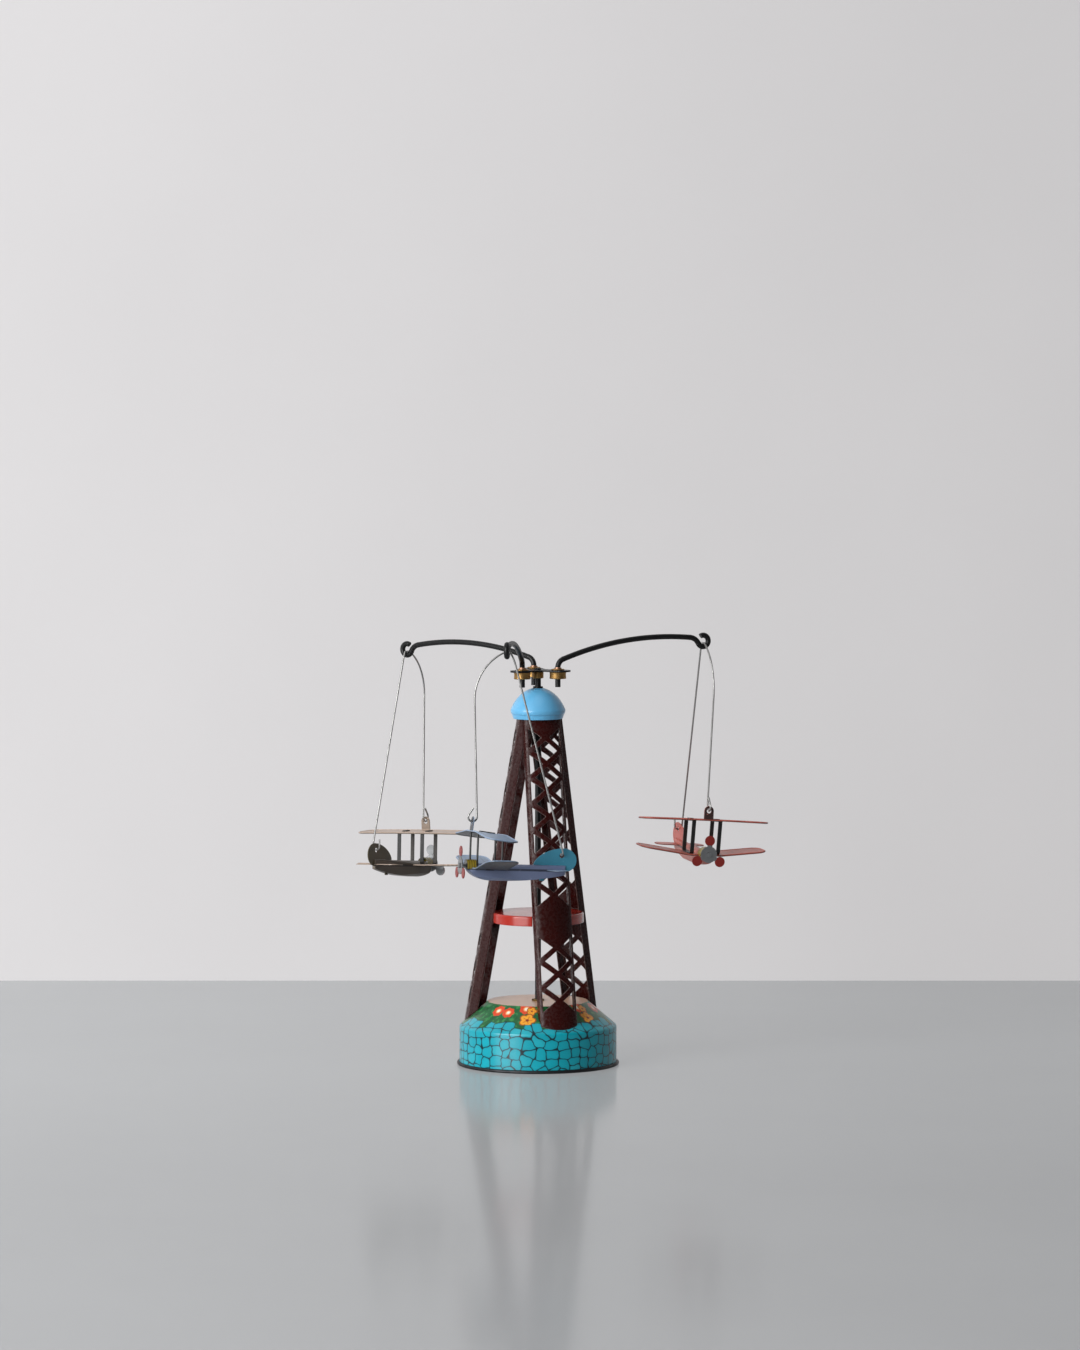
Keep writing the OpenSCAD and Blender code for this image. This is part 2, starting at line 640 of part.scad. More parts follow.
// Biplanes, with x forward and the seam of the hull on z = 0
module hull_form(inset) {
    bow_x = nose_x - sqrt(pow(bow_r, 2) - pow(bow_r - hull_depth, 2));
    w = hull_w / 2 - inset;
    intersection() {
        translate([0, 0, -10]) linear_extrude(20) hull_plan(inset);
        upright(20) union() {
            translate([bow_x, bow_r - hull_depth]) circle(r = bow_r - inset);
            intersection() {
                translate([bow_x - keel_back, keel_r - hull_depth]) circle(r = keel_r - inset);
                translate([inset - tail_x, -hull_depth])
                    square([tail_x - inset + bow_x, 9 + hull_depth]);
            }
        }
        translate([0, 0, hull_w * 0.65 - hull_depth - 0.1]) union() {
            along_x(-tail_x, nose_x, hull_w * 0.65 - inset);
            translate([-tail_x, -w, 0]) cube([tail_x + nose_x, 2 * w, 12]);
        }
    }
}

module hull_plan(inset) union() {
    w = hull_w / 2 - inset;
    translate([nose_x - hull_w / 2, 0]) circle(r = w);
    polygon([[nose_x - hull_w / 2, w], [-2, w], [inset - tail_x, 0.9 - inset], [inset - tail_x, inset - 0.9],
        [-2, -w], [nose_x - hull_w / 2, -w]]);
}

module hull(i) color(body_tint[i]) at_plane(i) difference() {
    hull_form(0);
    hull_form(tin);
    translate([-tail_x - 1, -hull_w, 0]) cube([tail_x + nose_x + 2, 2 * hull_w, 20]);
}

module arch_form(inset) {
    r = (pow(hull_w / 2, 2) + pow(deck_h, 2)) / 2 / deck_h;
    intersection() {
        translate([0, 0, -1]) linear_extrude(deck_h + 2) hull_plan(inset);
        translate([0, 0, deck_h - r]) along_x(-tail_x + inset, cowl_back - slip + inset, r - inset);
    }
}

module deck(i) color(body_tint[i]) at_plane(i) difference() {
    arch_form(0);
    arch_form(tin);
    translate([-tail_x - 1, -hull_w, -3]) cube([tail_x + nose_x + 2, 2 * hull_w, 3]);
    translate([lower_le - chord - slip, -hull_w, -1]) cube([chord + 20, 2 * hull_w, 1 + tin]);
    translate([-tail_x - 1, -hull_w, -1])
        cube([tail_x + 1 - tailplane_le() + slip, 2 * hull_w, 1 + tin]);
    fin_slot(tin + 2 * slip, 2 + 2 * slip);
}
function tailplane_le() = tail_x - tailplane_chord - 0.5;

module fin_slot(t, len) translate([tab_point.x - hook_span + 10.2 - len / 2, -t / 2, deck_h - 1.2])
    cube([len, t, 2.4]);

module wing_panel(len, r) {
    translate([-chord / 2, 0]) square([chord, len - r]);
    translate([r - chord / 2, 0]) square([chord - 2 * r, len]);
    for (x = [r - chord / 2, chord / 2 - r]) translate([x, len - r]) circle(r = r);
}

module strut_holes(z) for (s = [-1, 1]) translate([-0.8 - slip, s * strut_track / 2 - 0.4 - slip, z - 1])
    cube([1.6 + 2 * slip, 0.8 + 2 * slip, tin + 2]);

// A wing that is flat between its struts and bent up, or down, outside them
module bent_wing(bend) {
    flat = strut_track / 2 + strut_w / 2 + 0.5;
    rise = (span / 2 - flat) * tan(bend);
    fold = flat - tin * tan(bend / 2);
    half = [[span / 2, rise], [span / 2, rise + tin / cos(bend)], [fold, tin]];
    intersection() {
        translate([0, 0, min(0, rise) - 1]) linear_extrude(abs(rise) + 3) for (s = [0, 1]) mirror([0, s])
            wing_panel(span / 2, tip_r);
        rotate([90, 0, 90]) translate([0, 0, -chord]) linear_extrude(2 * chord) polygon(concat(
            [[flat, 0]], half, [for (k = [2:-1:0]) mirrored(half[k])], [[-flat, 0]]));
    }
}

module lower_wing(i) color(wing_tint[i]) at_plane(i) difference() {
    translate([lower_le - chord / 2, 0, 0]) bent_wing(dihedral[i]);
    strut_holes(0);
}

// Frame of the upper wing, with its underside on z = 0
module on_upper() translate([0, 0, wing_gap]) rotate([0, -incidence, 0]) children();

module upper_wing(i) color(wing_tint[i]) at_plane(i) on_upper() difference() {
    union() {
        bent_wing(-tip_droop[i]);
        translate([tab_x, 0, 0]) rotate([0, 0, 90]) upright(tin) union() {
            translate([0, tin + tab_rise]) circle(d = tab_d);
            translate([-tab_d / 2, tin / 2]) square([tab_d, tin / 2 + tab_rise]);
        }
    }
    translate([0, 0, tin + tab_rise]) along_x(0, chord, hook_hole / 2);
    strut_holes(0);
}

// Side view of a strut frame's strip, which follows the upper wing's slope
module strut_frame(inset) intersection() {
    translate([0, tin + strut_len]) rounded(strut_len - 2 * inset, 2 * (strut_len - inset), strut_r - inset);
    translate([0, wing_gap]) rotate(incidence) translate([-strut_len, -2 * strut_len])
        square([2 * strut_len, 2 * strut_len - inset]);
}

module struts(i) color("#202020") at_plane(i) for (s = [-1, 1]) translate([0, s * strut_track / 2, 0]) {
    upright(strut_w) difference() {
        strut_frame(0);
        strut_frame(strut_t);
    }
    strut_fixing(-strut_t);
    on_upper() strut_fixing(tin);
}

// A strip that grips a wing from outside, and the tab that holds it through the wing's hole
module strut_fixing(z) {
    translate([-2, -strut_w / 2, z]) cube([4, strut_w, strut_t]);
    translate([-0.8, -0.4, -strut_t / 2]) cube([1.6, 0.8, tin + strut_t]);
}

module fin(i) {
    mid_z = (fin_top - 0.6) / 2;
    mid_x = 6.2 - fin_len + (tab_point.x - hook_span + 14.2);
    color(fin_tint[i]) at_plane(i) {
        difference() {
            upright(tin) difference() {
                polygon([for (a = [0:9:351]) [
                    mid_x + cos(a) * (cos(a) > 0 ? fin_len - 6.2 : 6.2),
                    mid_z + sin(a) * (fin_top - mid_z)
                        - (cos(a) > 0 ? (mid_z - deck_h) * pow(cos(a), 2) : 0)]]);
                translate([-tail_x - slip, deck_h + 0.02 - 20]) square([40, 20]);
            }
            translate([fin_point.x, 0, fin_point.z]) rotate([90, 0, 0])
                translate([0, 0, -5]) cylinder(h = 10, d = hook_hole);
        }
        fin_slot(tin, 2);
    }
}

module tailplane(i) color(wing_tint[i]) at_plane(i)
    translate([-tailplane_le() - tailplane_chord / 2, 0, 0]) linear_extrude(tin) union() {
        r = tailplane_chord / 2 - 0.5;
        w = tailplane_span / 2;
        translate([-tailplane_chord / 2, r - w]) square([tailplane_chord, 2 * (w - r)]);
        translate([-0.5, -w]) square([1, 2 * w]);
        for (x = [-0.5, 0.5], y = [r - w, w - r]) translate([x, y]) circle(r = r);
    }

module cowl_form(inset) translate([0, 0, cowl_h - cowl_w / 2]) union() {
    along_x(cowl_back - (inset > 0 ? 1 : 0), nose_x - inset, cowl_w / 2 - inset);
    translate([cowl_back - (inset > 0 ? 1 : 0), inset - cowl_w / 2, -8])
        cube([cowl_len - inset + (inset > 0 ? 1 : 0), cowl_w - 2 * inset, 8]);
}

module cowl(i) color("#8a7a2a") at_plane(i) difference() {
    cowl_form(0);
    cowl_form(tin);
    translate([-10, -10, -20]) cube([40, 20, 20]);
    translate([-10, -10, -1]) cube([lower_le + slip + 10, 20, 1 + tin]);
    translate([0, 0, prop_z]) along_x(0, 20, pin_d / 2 + fit);
}

module propeller_pin(i) color(steel) at_plane(i) translate([0, 0, prop_z]) {
    along_x(nose_x - tin - 0.6, prop_x + tin + 2 * play + 0.6, pin_d / 2);
    along_x(nose_x - tin - 0.6, nose_x - tin, pin_d / 2 + 0.5);
    along_x(nose_x, prop_x - play, pin_d / 2 + 0.5);
    along_x(prop_x + tin + play, prop_x + tin + play + 0.6, pin_d / 2 + 0.6);
}

module propeller(i) color("#9b3a30") at_plane(i) translate([prop_x, 0, prop_z]) rotate([90, 0, 90])
    linear_extrude(tin) difference() {
        union() {
            circle(r = hub_r);
            for (a = [90, 210, 330]) rotate(a) {
                translate([0, -1.1]) square([lobe_at, 2.2]);
                translate([lobe_at, 0]) circle(r = lobe_r);
            }
        }
        circle(r = pin_d / 2 + fit);
    }

module biplane_part(i, part) {
    if (part == "hull") hull(i);
    if (part == "deck") deck(i);
    if (part == "lower_wing") lower_wing(i);
    if (part == "upper_wing") upper_wing(i);
    if (part == "struts") struts(i);
    if (part == "fin") fin(i);
    if (part == "tailplane") tailplane(i);
    if (part == "cowl") cowl(i);
    if (part == "propeller_pin") propeller_pin(i);
    if (part == "propeller") propeller(i);
    if (part == "hanger") hanger(i);
    if (part == "arm") arm(i);
}

base_shell();
bottom_plate();
motor_plate();
motor_pillars();
footstep_bearings();
base_bush();
mainspring();
shelf();
cap_plate();
dome();
bearing_tube();
main_wheel();
arbor();
spindle();
pinion();
spider();
spider_hub();
eyelets();
for (i = [0:2]) leg(i);
for (i = [0:2], part = plane_parts)
    biplane_part(i, part);
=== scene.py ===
"""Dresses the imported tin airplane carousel: printed base, enamelled tower, wire rotor and biplanes."""
import json
import math

import bpy
from bpy.props import FloatProperty, FloatVectorProperty, IntProperty, PointerProperty
from mathutils import Matrix, Vector


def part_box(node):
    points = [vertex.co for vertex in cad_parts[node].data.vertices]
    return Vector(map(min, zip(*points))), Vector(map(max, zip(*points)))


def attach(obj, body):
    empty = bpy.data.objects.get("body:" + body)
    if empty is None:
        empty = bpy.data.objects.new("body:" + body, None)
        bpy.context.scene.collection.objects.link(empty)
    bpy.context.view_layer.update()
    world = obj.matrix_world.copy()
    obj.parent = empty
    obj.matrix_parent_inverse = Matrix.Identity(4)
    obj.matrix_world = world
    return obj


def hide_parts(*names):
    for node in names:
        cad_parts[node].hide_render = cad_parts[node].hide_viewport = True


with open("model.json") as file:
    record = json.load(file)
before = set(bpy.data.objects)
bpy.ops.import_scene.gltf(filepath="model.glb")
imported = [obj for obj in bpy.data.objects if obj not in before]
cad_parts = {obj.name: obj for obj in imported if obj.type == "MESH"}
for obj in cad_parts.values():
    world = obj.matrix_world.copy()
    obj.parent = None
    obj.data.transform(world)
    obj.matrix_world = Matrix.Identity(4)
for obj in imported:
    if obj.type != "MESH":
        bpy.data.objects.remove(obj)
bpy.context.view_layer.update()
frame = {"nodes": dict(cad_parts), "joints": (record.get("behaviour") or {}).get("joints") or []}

bl_info = {
    "name": "Tin Airplane Carousel",
    "version": (1, 0, 0),
    "blender": (4, 5, 0),
    "location": "View3D > Sidebar > Carousel",
    "description": "Finishes and turned details for a tinplate carousel with biplanes",
    "category": "Object",
}

MM = 0.001
BLACK = (0.0, 0.0, 0.0, 1.0)
PLANES = ("red", "tan", "blue")
JOINTS = {joint["name"]: joint for joint in frame["joints"]}

# The nose tab's hole in a biplane's own frame, in millimetres, and the height where the tab leaves the wing
NOSE_TAB = Vector((7.474, 0.0, 22.862))
TAB_FOOT = NOSE_TAB.z - 4.3

# How far each biplane's lower and upper wing are bent up, in degrees
WING_BENDS = {"red": (7.0, -0.5), "tan": (1.0, -0.5), "blue": (11.0, -6.0)}

# The record's slots for each biplane's wings and fin
WING_SLOTS = {"red": "coral_enamel", "tan": "tan_enamel", "blue": "pale_blue_enamel"}
FIN_SLOTS = {"red": "red_enamel", "tan": "dark_olive_enamel", "blue": "teal_enamel"}


def srgb(red, green, blue):
    """A colour as the eye reads it, 0 to 255, in the shader's linear numbers."""
    def decode(value):
        value /= 255.0
        return value / 12.92 if value <= 0.04045 else ((value + 0.055) / 1.055) ** 2.4
    return decode(red), decode(green), decode(blue)


def shade(text, colour):
    """A colour that a user can change."""
    return FloatVectorProperty(name=text, description=text + " as it is under plain light",
                               default=srgb(*colour), size=3, subtype="COLOR", min=0.0, max=1.0)


def length(text, value):
    """A length that a user can change, given here in millimetres."""
    return FloatProperty(name=text, description=text + " in metres", default=value * MM,
                         unit="LENGTH", min=0.0)


def slope(text, about, degrees):
    """An angle that a user can change."""
    return FloatProperty(name=text, description=about, default=math.radians(degrees), subtype="ANGLE")


def power(text, about, watts):
    """The power of a lamp."""
    return FloatProperty(name=text, description=about + " in watts", default=watts, unit="POWER", min=0.0)


def share(text, about, value):
    """A part of a whole."""
    return FloatProperty(name=text, description=about, default=value, subtype="FACTOR", min=0.0, max=1.0)


class CarouselColours(bpy.types.PropertyGroup):
    """Colours of the finishes"""
    stone: shade("Printed stones", (0, 172, 190))
    mortar: shade("Lines between the stones", (2, 36, 44))
    leaf: shade("Dark leaves", (6, 96, 48))
    leaf_light: shade("Pale leaves", (52, 142, 76))
    blossom: shade("Red blossoms", (230, 70, 26))
    buttercup: shade("Yellow blossoms", (250, 172, 40))
    plateau: shade("Plateau of the base", (230, 188, 158))
    oxblood: shade("Tower enamel", (58, 16, 13))
    orange: shade("Shelf enamel", (180, 40, 24))
    sky: shade("Cap enamel", (104, 184, 230))
    black: shade("Black enamel", (16, 16, 17))
    brass: shade("Brass", (168, 132, 80))
    copper: shade("Copper", (178, 138, 112))
    tin: shade("Bare tin", (170, 172, 174))
    rim: shade("Crimped rim", (66, 66, 68))
    wire: shade("Hanger wire", (176, 175, 173))
    coral: shade("Coral biplane", (210, 108, 92))
    coral_tail: shade("Fin of the coral biplane", (208, 96, 82))
    tan: shade("Wings of the tan biplane", (206, 182, 164))
    olive: shade("Hull of the tan biplane", (102, 90, 76))
    olive_tail: shade("Fin of the tan biplane", (86, 75, 46))
    pale_blue: shade("Wings of the blue biplane", (158, 182, 212))
    periwinkle: shade("Hull of the blue biplane", (124, 136, 170))
    teal: shade("Fin of the blue biplane", (66, 142, 168))
    gold: shade("Cowls", (150, 130, 44))
    propeller: shade("Propeller tips", (132, 34, 27))
    underside: shade("Undersides of the wings", (38, 34, 33))


class CarouselPrint(bpy.types.PropertyGroup):
    """Sizes of the print on the base"""
    stone_size: length("Size of a stone", 5.8)
    mortar_width: length("Width of a line between stones", 0.36)
    wall_radius: length("Radius of the wall", 39.5)
    wall_height: length("Height of the wall", 20.0)
    stone_top: length("Height of the stones along the metal", 24.6)
    plateau_radius: length("Radius of the plateau", 25.0)
    plateau_height: length("Height of the plateau", 32.0)
    blossom_radius: length("Radius of a red blossom", 3.5)
    buttercup_radius: length("Radius of a yellow blossom", 4.2)
    posies: IntProperty(name="Posies", description="Groups of flowers round the base",
                        default=6, min=3, max=9)


class CarouselShapes(bpy.types.PropertyGroup):
    """Sizes of the turned pieces, the fin tabs and the wing hems"""
    sheet: length("Thickness of the sheet", 0.5)
    dome_height: length("Height of the dome to where its curve would close", 13.5)
    dome_belly: length("Height of the dome's widest place", 2.2)
    dome_tuck: length("How far the dome's edge is drawn in", 0.8)
    dome_flare: length("How far the dome flares out at its widest place", 1.6)
    bore: length("Radius of the dome's hole", 2.6)
    lip_radius: length("Radius inside the cap's lip", 12.2)
    eyelet_bore: length("Radius of an eyelet's bore", 1.42)
    eyelet_waist: length("Depth of an eyelet's waist", 0.18)
    tab_length: length("Length of a fin's fixing tab", 2.6)
    tab_depth: length("Depth of a fin's fixing tab under the hull", 1.3)
    wing_span: length("Span of a wing", 67.0)
    wing_chord: length("Chord of a wing", 16.5)
    wing_tip: length("Radius of a wing's tip", 5.5)
    wing_flat: length("Distance from the middle to where a wing is bent", 8.5)
    wing_sheet: length("Thickness of a wing", 0.45)
    wing_gap: length("Height of the upper wing over the lower one", 17.2)
    wing_stagger: length("How far the lower wing sits behind the upper one", 0.5)
    incidence: slope("Incidence", "Slope of the upper wing", 6.0)
    hem: length("Thickness of a wing's rolled hem", 0.9)


class CarouselStage(bpy.types.PropertyGroup):
    """Camera, light and backdrop"""
    camera_aside: length("Distance of the camera to the right of the axis", 1.0)
    camera_back: length("Distance of the camera", 3070.0)
    camera_height: length("Height of the camera", 407.0)
    camera_tilt: slope("Tilt", "Downward tilt of the camera", 3.93)
    lens: FloatProperty(name="Lens", description="Focal length for a 36 mm long side", default=163.7,
                        unit="CAMERA", min=20.0)
    wall_back: length("Distance of the wall behind the tower", 353.0)
    floor: shade("Floor", (190, 192, 194))
    wall: shade("Wall", (227, 225, 226))
    room: shade("Room", (236, 237, 240))
    key: power("Key light", "Power of the window light", 84.0)
    top: power("Top light", "Power of the light overhead", 6.0)
    sky: FloatProperty(name="Room light", description="Strength of the even light", default=0.12, min=0.0)
    room_paleness: share("Room paleness", "Strength at which the room is seen past the wall", 0.8)
    wall_paleness: share("Wall paleness", "Share of the wall that is seen unshaded", 0.75)
    floor_paleness: share("Floor paleness", "Share of the floor that is seen unshaded", 0.48)


def colours():
    return bpy.context.scene.carousel_colours


def opaque(colour):
    """A colour as a colour socket takes it."""
    return (*colour, 1.0)


def darker(colour, part):
    """A colour at a part of its strength."""
    return opaque([channel * part for channel in colour])


def paler(colour, gain, lift):
    """A colour that is strengthened and lifted towards white."""
    return opaque([min(1.0, channel * gain + lift) for channel in colour])


class Link:
    """An output socket of a finish. Sums on it add Math nodes to that finish."""

    def __init__(self, finish, socket):
        self.finish, self.socket = finish, socket

    def __add__(self, other):
        return self.finish.math("ADD", self, other)

    def __sub__(self, other):
        return self.finish.math("SUBTRACT", self, other)

    def __rsub__(self, other):
        return self.finish.math("SUBTRACT", other, self)

    def __mul__(self, other):
        return self.finish.math("MULTIPLY", self, other)

    def __truediv__(self, other):
        return self.finish.math("DIVIDE", self, other)

    def __lt__(self, other):
        return self.finish.math("LESS_THAN", self, other)

    def __gt__(self, other):
        return self.finish.math("GREATER_THAN", self, other)

    def __abs__(self):
        return self.finish.math("ABSOLUTE", self)

    __radd__ = __add__
    __rmul__ = __mul__


class Finish:
    """One material. Every node that isn't a sum comes from node()."""

    def __init__(self, name, **constants):
        self.material = bpy.data.materials.new(name)
        self.material.use_nodes = True
        self.tree = self.material.node_tree
        self.shader = self.tree.nodes["Principled BSDF"]
        for key, value in constants.items():
            self.shader.inputs[key.replace("_", " ").title().replace("Ior", "IOR")].default_value = value

    def node(self, kind, settings=None, sockets=None, out=0):
        made = self.tree.nodes.new("ShaderNode" + kind)
        for key, value in (settings or {}).items():
            setattr(made, key, value)
        for key, value in (sockets or {}).items():
            self.join(value, made.inputs[key])
        return Link(self, made.outputs[out])

    def join(self, value, socket):
        if isinstance(value, Link):
            self.tree.links.new(value.socket, socket)
        else:
            socket.default_value = value

    def math(self, operation, *values):
        return self.node("Math", {"operation": operation}, dict(enumerate(values)))

    def ramp(self, value, start, end):
        """0 at start and 1 at end, with a soft step between them."""
        return self.node("MapRange", {"interpolation_type": "SMOOTHSTEP"},
                         {"Value": value, "From Min": start, "From Max": end})

    def mix(self, part, first, second):
        """The first colour, with a part of the second mixed in."""
        return self.node("Mix", {"data_type": "RGBA"}, {0: part, 6: first, 7: second}, 2)

    def place(self):
        """Object coordinates in millimetres."""
        return self.node("VectorMath", {"operation": "SCALE"},
                         {0: self.node("TexCoord", out="Object"), "Scale": 1 / MM})

    def split(self, vector):
        return [self.node("SeparateXYZ", None, {0: vector}, axis) for axis in "XYZ"]

    def vector(self, x, y, z):
        return self.node("CombineXYZ", None, {0: x, 1: y, 2: z})

    def noise(self, vector, size, detail=2.0, out="Fac"):
        """Noise with features about size millimetres across."""
        return self.node("TexNoise", None, {"Vector": vector, "Scale": 1.0 / size, "Detail": detail}, out)

    def paint(self, colour, roughness=None, height=None, depth=0.05, metallic=None, fold=0.0):
        """Feeds the shader. Height is in millimetres times depth, and fold rounds the edges' shading."""
        self.join(colour, self.shader.inputs["Base Color"])
        if roughness is not None:
            self.join(roughness, self.shader.inputs["Roughness"])
        if metallic is not None:
            self.join(metallic, self.shader.inputs["Metallic"])
        if height is not None:
            sockets = {"Height": height, "Distance": depth * MM, "Strength": 1.0}
            if fold:
                sockets["Normal"] = self.node("Bevel", {"samples": 6}, {"Radius": fold * MM})
            self.join(self.node("Bump", None, sockets), self.shader.inputs["Normal"])
        return self.material


def enamel(name, colour, gloss, peel, mottle, coat, fold=0.0, shine=0.5, pebble=0.7, speck=0.0, rub_and_highlight=0.0):
    """Stoved enamel on tinplate: mottled and chipped, with an orange-peel skin and edges made pale, partly
    as rubbed wear and partly as painted highlight.
    """
    finish = Finish(name, coat_weight=coat, coat_roughness=0.12, specular_ior_level=shine)
    place = finish.place()
    cloud = finish.noise(place, 9.0, 3.0)
    grain = finish.noise(place, pebble, 2.0)
    chips = finish.ramp(finish.noise(place, 2.2, 6.0), 0.69, 0.73)
    art = finish.mix(cloud * mottle + grain * mottle * 0.6, opaque(colour), BLACK)
    art = finish.mix(chips * 0.35, art, paler(colour, 1.5, 0.06))
    if rub_and_highlight:
        rounded = finish.node("Bevel", {"samples": 6}, {"Radius": 0.45 * MM})
        facing = finish.node("NewGeometry", out="Normal")
        flat = finish.node("VectorMath", {"operation": "DOT_PRODUCT"}, {0: rounded, 1: facing}, "Value")
        edge = finish.ramp(flat + 0.1 * grain, 1.0, 0.88)
        # Painted highlight: edges and folds are lightened to pale pinkish grey, partly as rubbed wear
        art = finish.mix(edge * rub_and_highlight, art, opaque(srgb(168, 150, 144)))
    rough = gloss + 0.16 * cloud + 0.1 * chips + speck * finish.ramp(grain, 0.44, 0.56)
    return finish.paint(art, rough, grain + 0.6 * cloud, 0.03 * peel, fold=fold)


def bare_metal(name, colour, rough=0.34, brush=(0.6, 0.6, 0.6), stain=0.35):
    """Metal with drawn lines, dull patches and dark stains."""
    finish = Finish(name, metallic=1.0)
    place = finish.place()
    stretched = finish.node("VectorMath", {"operation": "DIVIDE"}, {0: place, 1: brush})
    lines = finish.noise(stretched, 1.0, 3.0)
    dull = finish.ramp(finish.noise(place, 5.0, 4.0), 0.45, 0.75)
    tone = finish.mix(dull * stain, opaque(colour), darker(colour, 0.35))
    tone = finish.mix(lines * 0.25, tone, darker(colour, 0.6))
    return finish.paint(tone, rough + 0.18 * dull + 0.12 * lines, lines, 0.02)


def stone_print(finish, pattern, place):
    """Printed stones: their colour, the lines between them and the height of each stone's middle."""
    tints = colours()
    cell, wall = pattern.stone_size / MM, pattern.wall_height / MM
    girth, width = pattern.wall_radius / MM, pattern.mortar_width / MM
    squash, drop, sway = 1.22, 1.3, 2.4
    x, y, z = finish.split(place)
    around = finish.math("ARCTAN2", x, -1 * y) * girth
    along = z + 0.5 * finish.math("MAXIMUM", z - wall, 0.0)
    wander = finish.split(finish.noise(place, 5.0, 1.0, "Color"))
    flat = finish.vector(around + sway * wander[0], squash * along + sway * wander[1], 0.0)
    cells = {"voronoi_dimensions": "2D", "distance": "MINKOWSKI"}
    near = {"Vector": flat, "Scale": 1.0 / cell, "Randomness": 0.7, "Exponent": 3.2}
    first = finish.node("TexVoronoi", cells, near)
    second = finish.node("TexVoronoi", {**cells, "feature": "F2"}, near)
    chance = finish.split(finish.node("TexVoronoi", cells, near, "Color"))
    centre = finish.split(finish.node("TexVoronoi", cells, near, "Position"))
    edge = (second - first) * cell
    line = finish.ramp(edge, width * 0.6, width * 1.9)
    line = 1 - line * finish.ramp(first * cell, cell * 0.72, cell * 0.58)
    lap = finish.ramp(math.pi * girth - abs(around), 0.45, 0.25)
    line = finish.math("MAXIMUM", line, lap * (z < wall))
    body = finish.mix(chance[0] * 0.25, opaque(tints.stone), darker(tints.stone, 0.66))
    body = finish.mix(finish.ramp(chance[1], 0.6, 1.0) * 0.35, body, opaque(srgb(60, 196, 208)))
    crown = finish.ramp(edge, 0.6, 2.6)
    body = finish.mix((1 - crown) * 0.2, body, darker(tints.stone, 0.55))
    return finish.mix(line, body, opaque(tints.mortar)), line, centre[1] / squash - drop


def posy_print(finish, pattern, place):
    """Printed leaves with posies of red and yellow blossoms, round the plain plateau."""
    tints = colours()
    x, y, z = finish.split(place)
    radius = finish.math("SQRT", x * x + y * y)
    drawn = finish.node("VectorMath", {"operation": "MULTIPLY"}, {0: place, 1: (1.0, 1.0, 0.6)})
    streak = finish.noise(drawn, 2.0, 2.0)
    garden = finish.mix(finish.ramp(streak, 0.52, 0.68), opaque(tints.leaf), opaque(tints.leaf_light))
    garden = finish.mix(finish.ramp(streak, 0.44, 0.3) * 0.6, garden, darker(tints.leaf, 0.35))
    slant = (pattern.plateau_height / MM - z) * 1.5
    turn = 2 * math.pi / pattern.posies
    start = math.radians(240)
    angle = finish.math("ARCTAN2", y, x) + (2 * math.pi - start + turn / 2)
    inside = finish.math("MODULO", angle, turn) - turn / 2

    def petals(across, along):
        """Distance from a blossom's middle and the angle round it."""
        u = (inside - math.radians(across)) * radius
        v = slant - along
        return finish.math("SQRT", u * u + v * v), finish.math("ARCTAN2", v, u)

    def red(art, across, along, size):
        away, way = petals(across, along)
        rim = size * (0.93 + 0.07 * finish.math("COSINE", 7 * way))
        art = finish.mix(finish.ramp(away - rim, 0.25, -0.1), art, opaque(tints.blossom))
        vein = finish.ramp(finish.math("COSINE", 14 * way), 0.55, 1.0)
        vein = vein * finish.ramp(rim - away, 0.2, 0.9)
        art = finish.mix(vein * 0.45, art, darker(tints.blossom, 0.55))
        art = finish.mix(finish.ramp(away, size * 0.55, size * 0.3), art, opaque(srgb(252, 190, 120)))
        return finish.mix(finish.ramp(away, size * 0.32, size * 0.18), art, opaque(srgb(252, 246, 232)))

    def yellow(art, across, along, size):
        away, way = petals(across, along)
        rim = size * (0.7 + 0.3 * abs(finish.math("COSINE", 2.5 * way)))
        art = finish.mix(finish.ramp(away - rim, 0.45, 0.1), art, opaque(srgb(176, 74, 16)))
        art = finish.mix(finish.ramp(away - rim, -0.1, -0.5), art, opaque(tints.buttercup))
        ray = finish.ramp(finish.math("COSINE", 5 * way), 0.72, 0.98)
        ray = ray * finish.ramp(away, size * 0.72, size * 0.4)
        art = finish.mix(ray, art, opaque(srgb(206, 84, 22)))
        return finish.mix(finish.ramp(away, size * 0.24, size * 0.15), art, opaque(srgb(140, 40, 12)))

    blossom, buttercup = pattern.blossom_radius / MM, pattern.buttercup_radius / MM
    garden = red(garden, -14.0, 4.2, blossom)
    garden = red(garden, -1.0, 4.8, blossom * 0.94)
    garden = red(garden, 17.5, 1.9, blossom)
    garden = yellow(garden, 23.6, 3.2, buttercup * 0.62)
    garden = yellow(garden, 20.5, 9.2, buttercup)
    edge = pattern.plateau_radius / MM
    inner = finish.ramp(radius + 0.8 * (streak - 0.5), edge + 0.25, edge - 0.15)
    return finish.mix(inner, garden, opaque(tints.plateau))


def printed_base(pattern):
    """Printed tinplate: stones on the wall, posies on the cone and a plain plateau."""
    finish = Finish("Printed base", coat_weight=0.22, coat_roughness=0.12, ior=1.45)
    place = finish.place()
    stones, line, middle = stone_print(finish, pattern, place)
    garden = posy_print(finish, pattern, place)
    art = finish.mix(middle < pattern.stone_top / MM, garden, stones)
    grain = finish.noise(place, 0.6, 2.0)
    cloud = finish.noise(place, 12.0, 3.0)
    art = finish.mix(grain * 0.14, art, BLACK)
    rough = 0.24 + 0.14 * cloud + 0.06 * grain
    return finish.paint(art, rough, grain * 0.4 + cloud - 0.15 * line, 0.03, fold=0.3)


